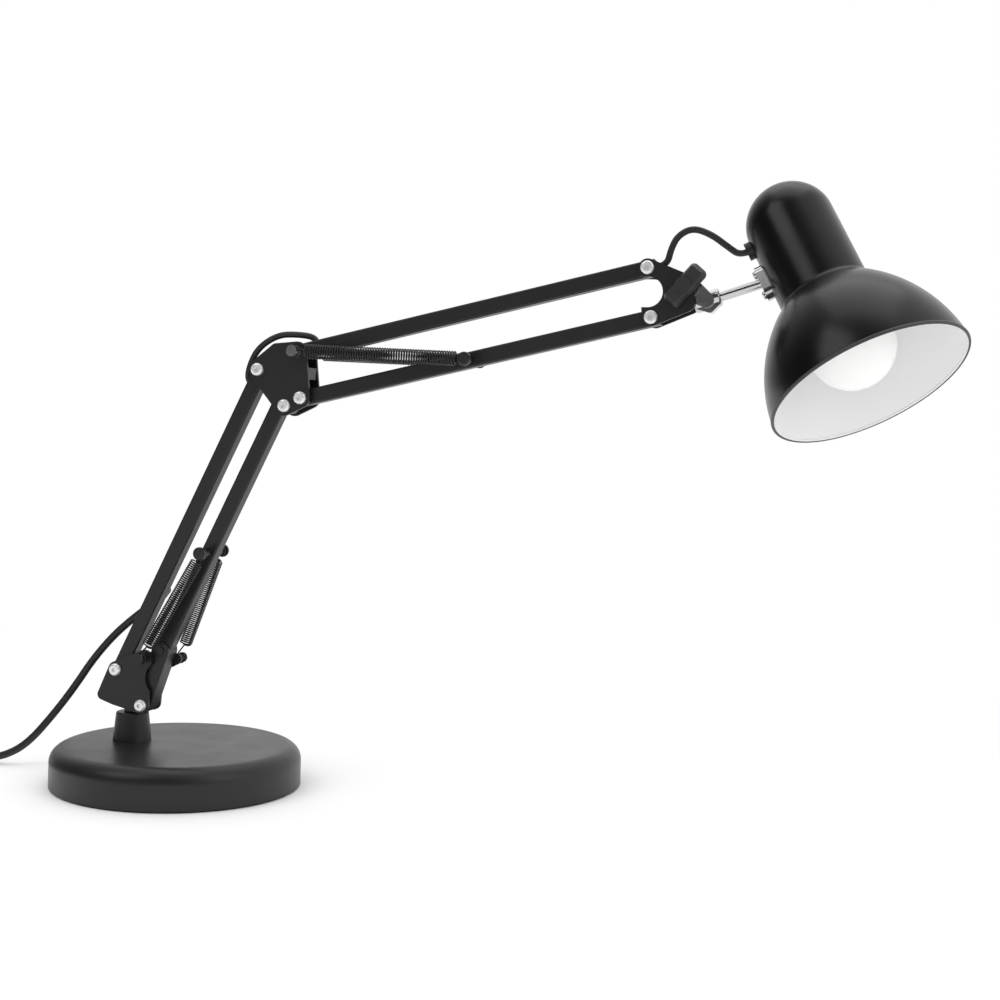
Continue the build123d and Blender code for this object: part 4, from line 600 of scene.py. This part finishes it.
def spun(bm, profile, steps, material_index):
    """Spin a profile of (radius, place) points once round the head's axis."""
    known = set(bm.faces)
    line = [
        bm.verts.new((HEAD_CENTRE + HEAD_AXIS * place + HEAD_OUTWARD * radius) * MM)
        for radius, place in profile
    ]
    edges = [bm.edges.new(pair) for pair in zip(line, line[1:])]
    bmesh.ops.spin(
        bm,
        geom=line + edges,
        cent=HEAD_CENTRE * MM,
        axis=HEAD_AXIS,
        angle=2 * math.pi,
        steps=steps,
        use_merge=True,
        use_duplicate=False,
    )
    for face in bm.faces:
        if face not in known:
            face.material_index = material_index


bell_out = eased(bell_arc(BELL_RADIUS, NECK_RADIUS), NECK_EASE_OUT)
bell_in = eased(bell_arc(BELL_RADIUS - WALL, NECK_RADIUS - WALL), NECK_EASE_IN)
bead_place = bell_out[-1][0] - WALL / 2
bead = [
    (bead_place + BEAD * math.cos(t), RIM_PLACE + BEAD * math.sin(t))
    for t in np.linspace(-BEAD_OVERLAP, math.pi + BEAD_OVERLAP, BEAD_POINTS)
]
edge_end = 2 * len(bead) // 3
shade_outside = dome_arc(NECK_RADIUS) + bell_out + bead[:1]
shade_edge = bead[: edge_end + 1]
shade_inside = bead[edge_end:] + bell_in[::-1] + dome_arc(NECK_RADIUS - WALL)[::-1]
shell = bmesh.new()
for number, profile in enumerate((shade_outside, shade_edge, shade_inside)):
    spun(shell, profile, SHADE_STEPS, number)
shade = finished("shade_turned", shell, SHADE_OUT, RIM_EDGE, SHADE_IN)
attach(shade, "lamp_head")
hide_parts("shade")

# Floor, which fades to plain white away from the lamp
WHITE = (1.0, 1.0, 1.0, 1.0)
FLOOR_HALF_SIZE = 30.0
FADE_SPAN = (0.3, 0.9)
FLOOR_LIFT = 0.02
floor_form = bmesh.new()
bmesh.ops.create_grid(floor_form, x_segments=1, y_segments=1, size=FLOOR_HALF_SIZE)
floor_data = bpy.data.meshes.new("floor")
floor_form.to_mesh(floor_data)
floor_form.free()
floor = bpy.data.objects.new("floor", floor_data)
scene.collection.objects.link(floor)

paper = bpy.data.materials.new("pale_floor")
paper.use_nodes = True
paper_tree = paper.node_tree
paper_shader = paper_tree.nodes["Principled BSDF"]
paper_shader.inputs["Base Color"].default_value = (0.81, 0.81, 0.81, 1.0)
paper_shader.inputs["Roughness"].default_value = 0.9
paper_shader.inputs["Specular IOR Level"].default_value = 0.0
paper_shader.inputs["Emission Color"].default_value = WHITE
_, paper_seen = seen_directly(paper_tree)
lift = worked_out(paper_tree, "MULTIPLY", paper_seen, FLOOR_LIFT)
paper_tree.links.new(lift, paper_shader.inputs["Emission Strength"])
paper_place = paper_tree.nodes.new("ShaderNodeTexCoord")
paper_reach = paper_tree.nodes.new("ShaderNodeVectorMath")
paper_reach.operation = "LENGTH"
paper_tree.links.new(paper_place.outputs["Object"], paper_reach.inputs[0])
paper_fade = mapped(paper_tree, paper_reach.outputs["Value"], FADE_SPAN, (0.0, 1.0), True)
paper_share = worked_out(paper_tree, "MULTIPLY", paper_fade, paper_seen)
paper_white = paper_tree.nodes.new("ShaderNodeEmission")
paper_white.inputs["Color"].default_value = WHITE
paper_white.inputs["Strength"].default_value = 1.0
mixed(
    paper_tree,
    paper_share,
    paper_shader.outputs["BSDF"],
    paper_white.outputs["Emission"],
    "Material Output",
)
floor_data.materials.append(paper)

# World: white to the camera, white behind and darker in front to shiny surfaces, and a soft fill for the rest
FILL_STRENGTH = 1.03
BRIGHT_WAY = (0.5, 0.78, 0.37)
BRIGHT_SPAN = (-0.4, 0.7)
BRIGHT_LIMITS = (0.03, 1.0)
world = bpy.data.worlds.new("studio")
scene.world = world
world.use_nodes = True
world_tree = world.node_tree
lit = world_tree.nodes["Background"]
lit.inputs["Color"].default_value = WHITE
lit.inputs["Strength"].default_value = FILL_STRENGTH
seen = world_tree.nodes.new("ShaderNodeBackground")
seen.inputs["Color"].default_value = WHITE
world_ray, world_seen = seen_directly(world_tree)
toward = world_tree.nodes.new("ShaderNodeTexCoord")
bright_way = world_tree.nodes.new("ShaderNodeVectorMath")
bright_way.operation = "DOT_PRODUCT"
bright_way.inputs[1].default_value = BRIGHT_WAY
world_tree.links.new(toward.outputs["Generated"], bright_way.inputs[0])
shine = mapped(world_tree, bright_way.outputs["Value"], BRIGHT_SPAN, BRIGHT_LIMITS, True)
white = worked_out(world_tree, "MAXIMUM", shine, world_ray.outputs["Is Camera Ray"])
world_tree.links.new(white, seen.inputs["Strength"])
mixed(world_tree, world_seen, lit.outputs["Background"], seen.outputs["Background"], "World Output")


def softbox(name, place, target, size, power):
    """Soft rectangular light at a place, turned to a target."""
    data = bpy.data.lights.new(name, "AREA")
    data.shape = "RECTANGLE"
    data.size, data.size_y = size
    data.energy = power
    lamp = bpy.data.objects.new(name, data)
    scene.collection.objects.link(lamp)
    lamp.location = place
    lamp.rotation_mode = "QUATERNION"
    lamp.rotation_quaternion = (Vector(target) - Vector(place)).to_track_quat("-Z", "Y")


softbox("key", (-0.9, -1.2, 1.8), (0.15, 0.0, 0.2), (1.2, 1.2), 8.5)
softbox("fill", (1.7, -0.6, 1.1), (0.3, 0.0, 0.25), (1.0, 1.4), 4.0)
softbox("top", (0.2, 0.3, 2.0), (0.2, 0.0, 0.0), (1.6, 1.6), 7.0)
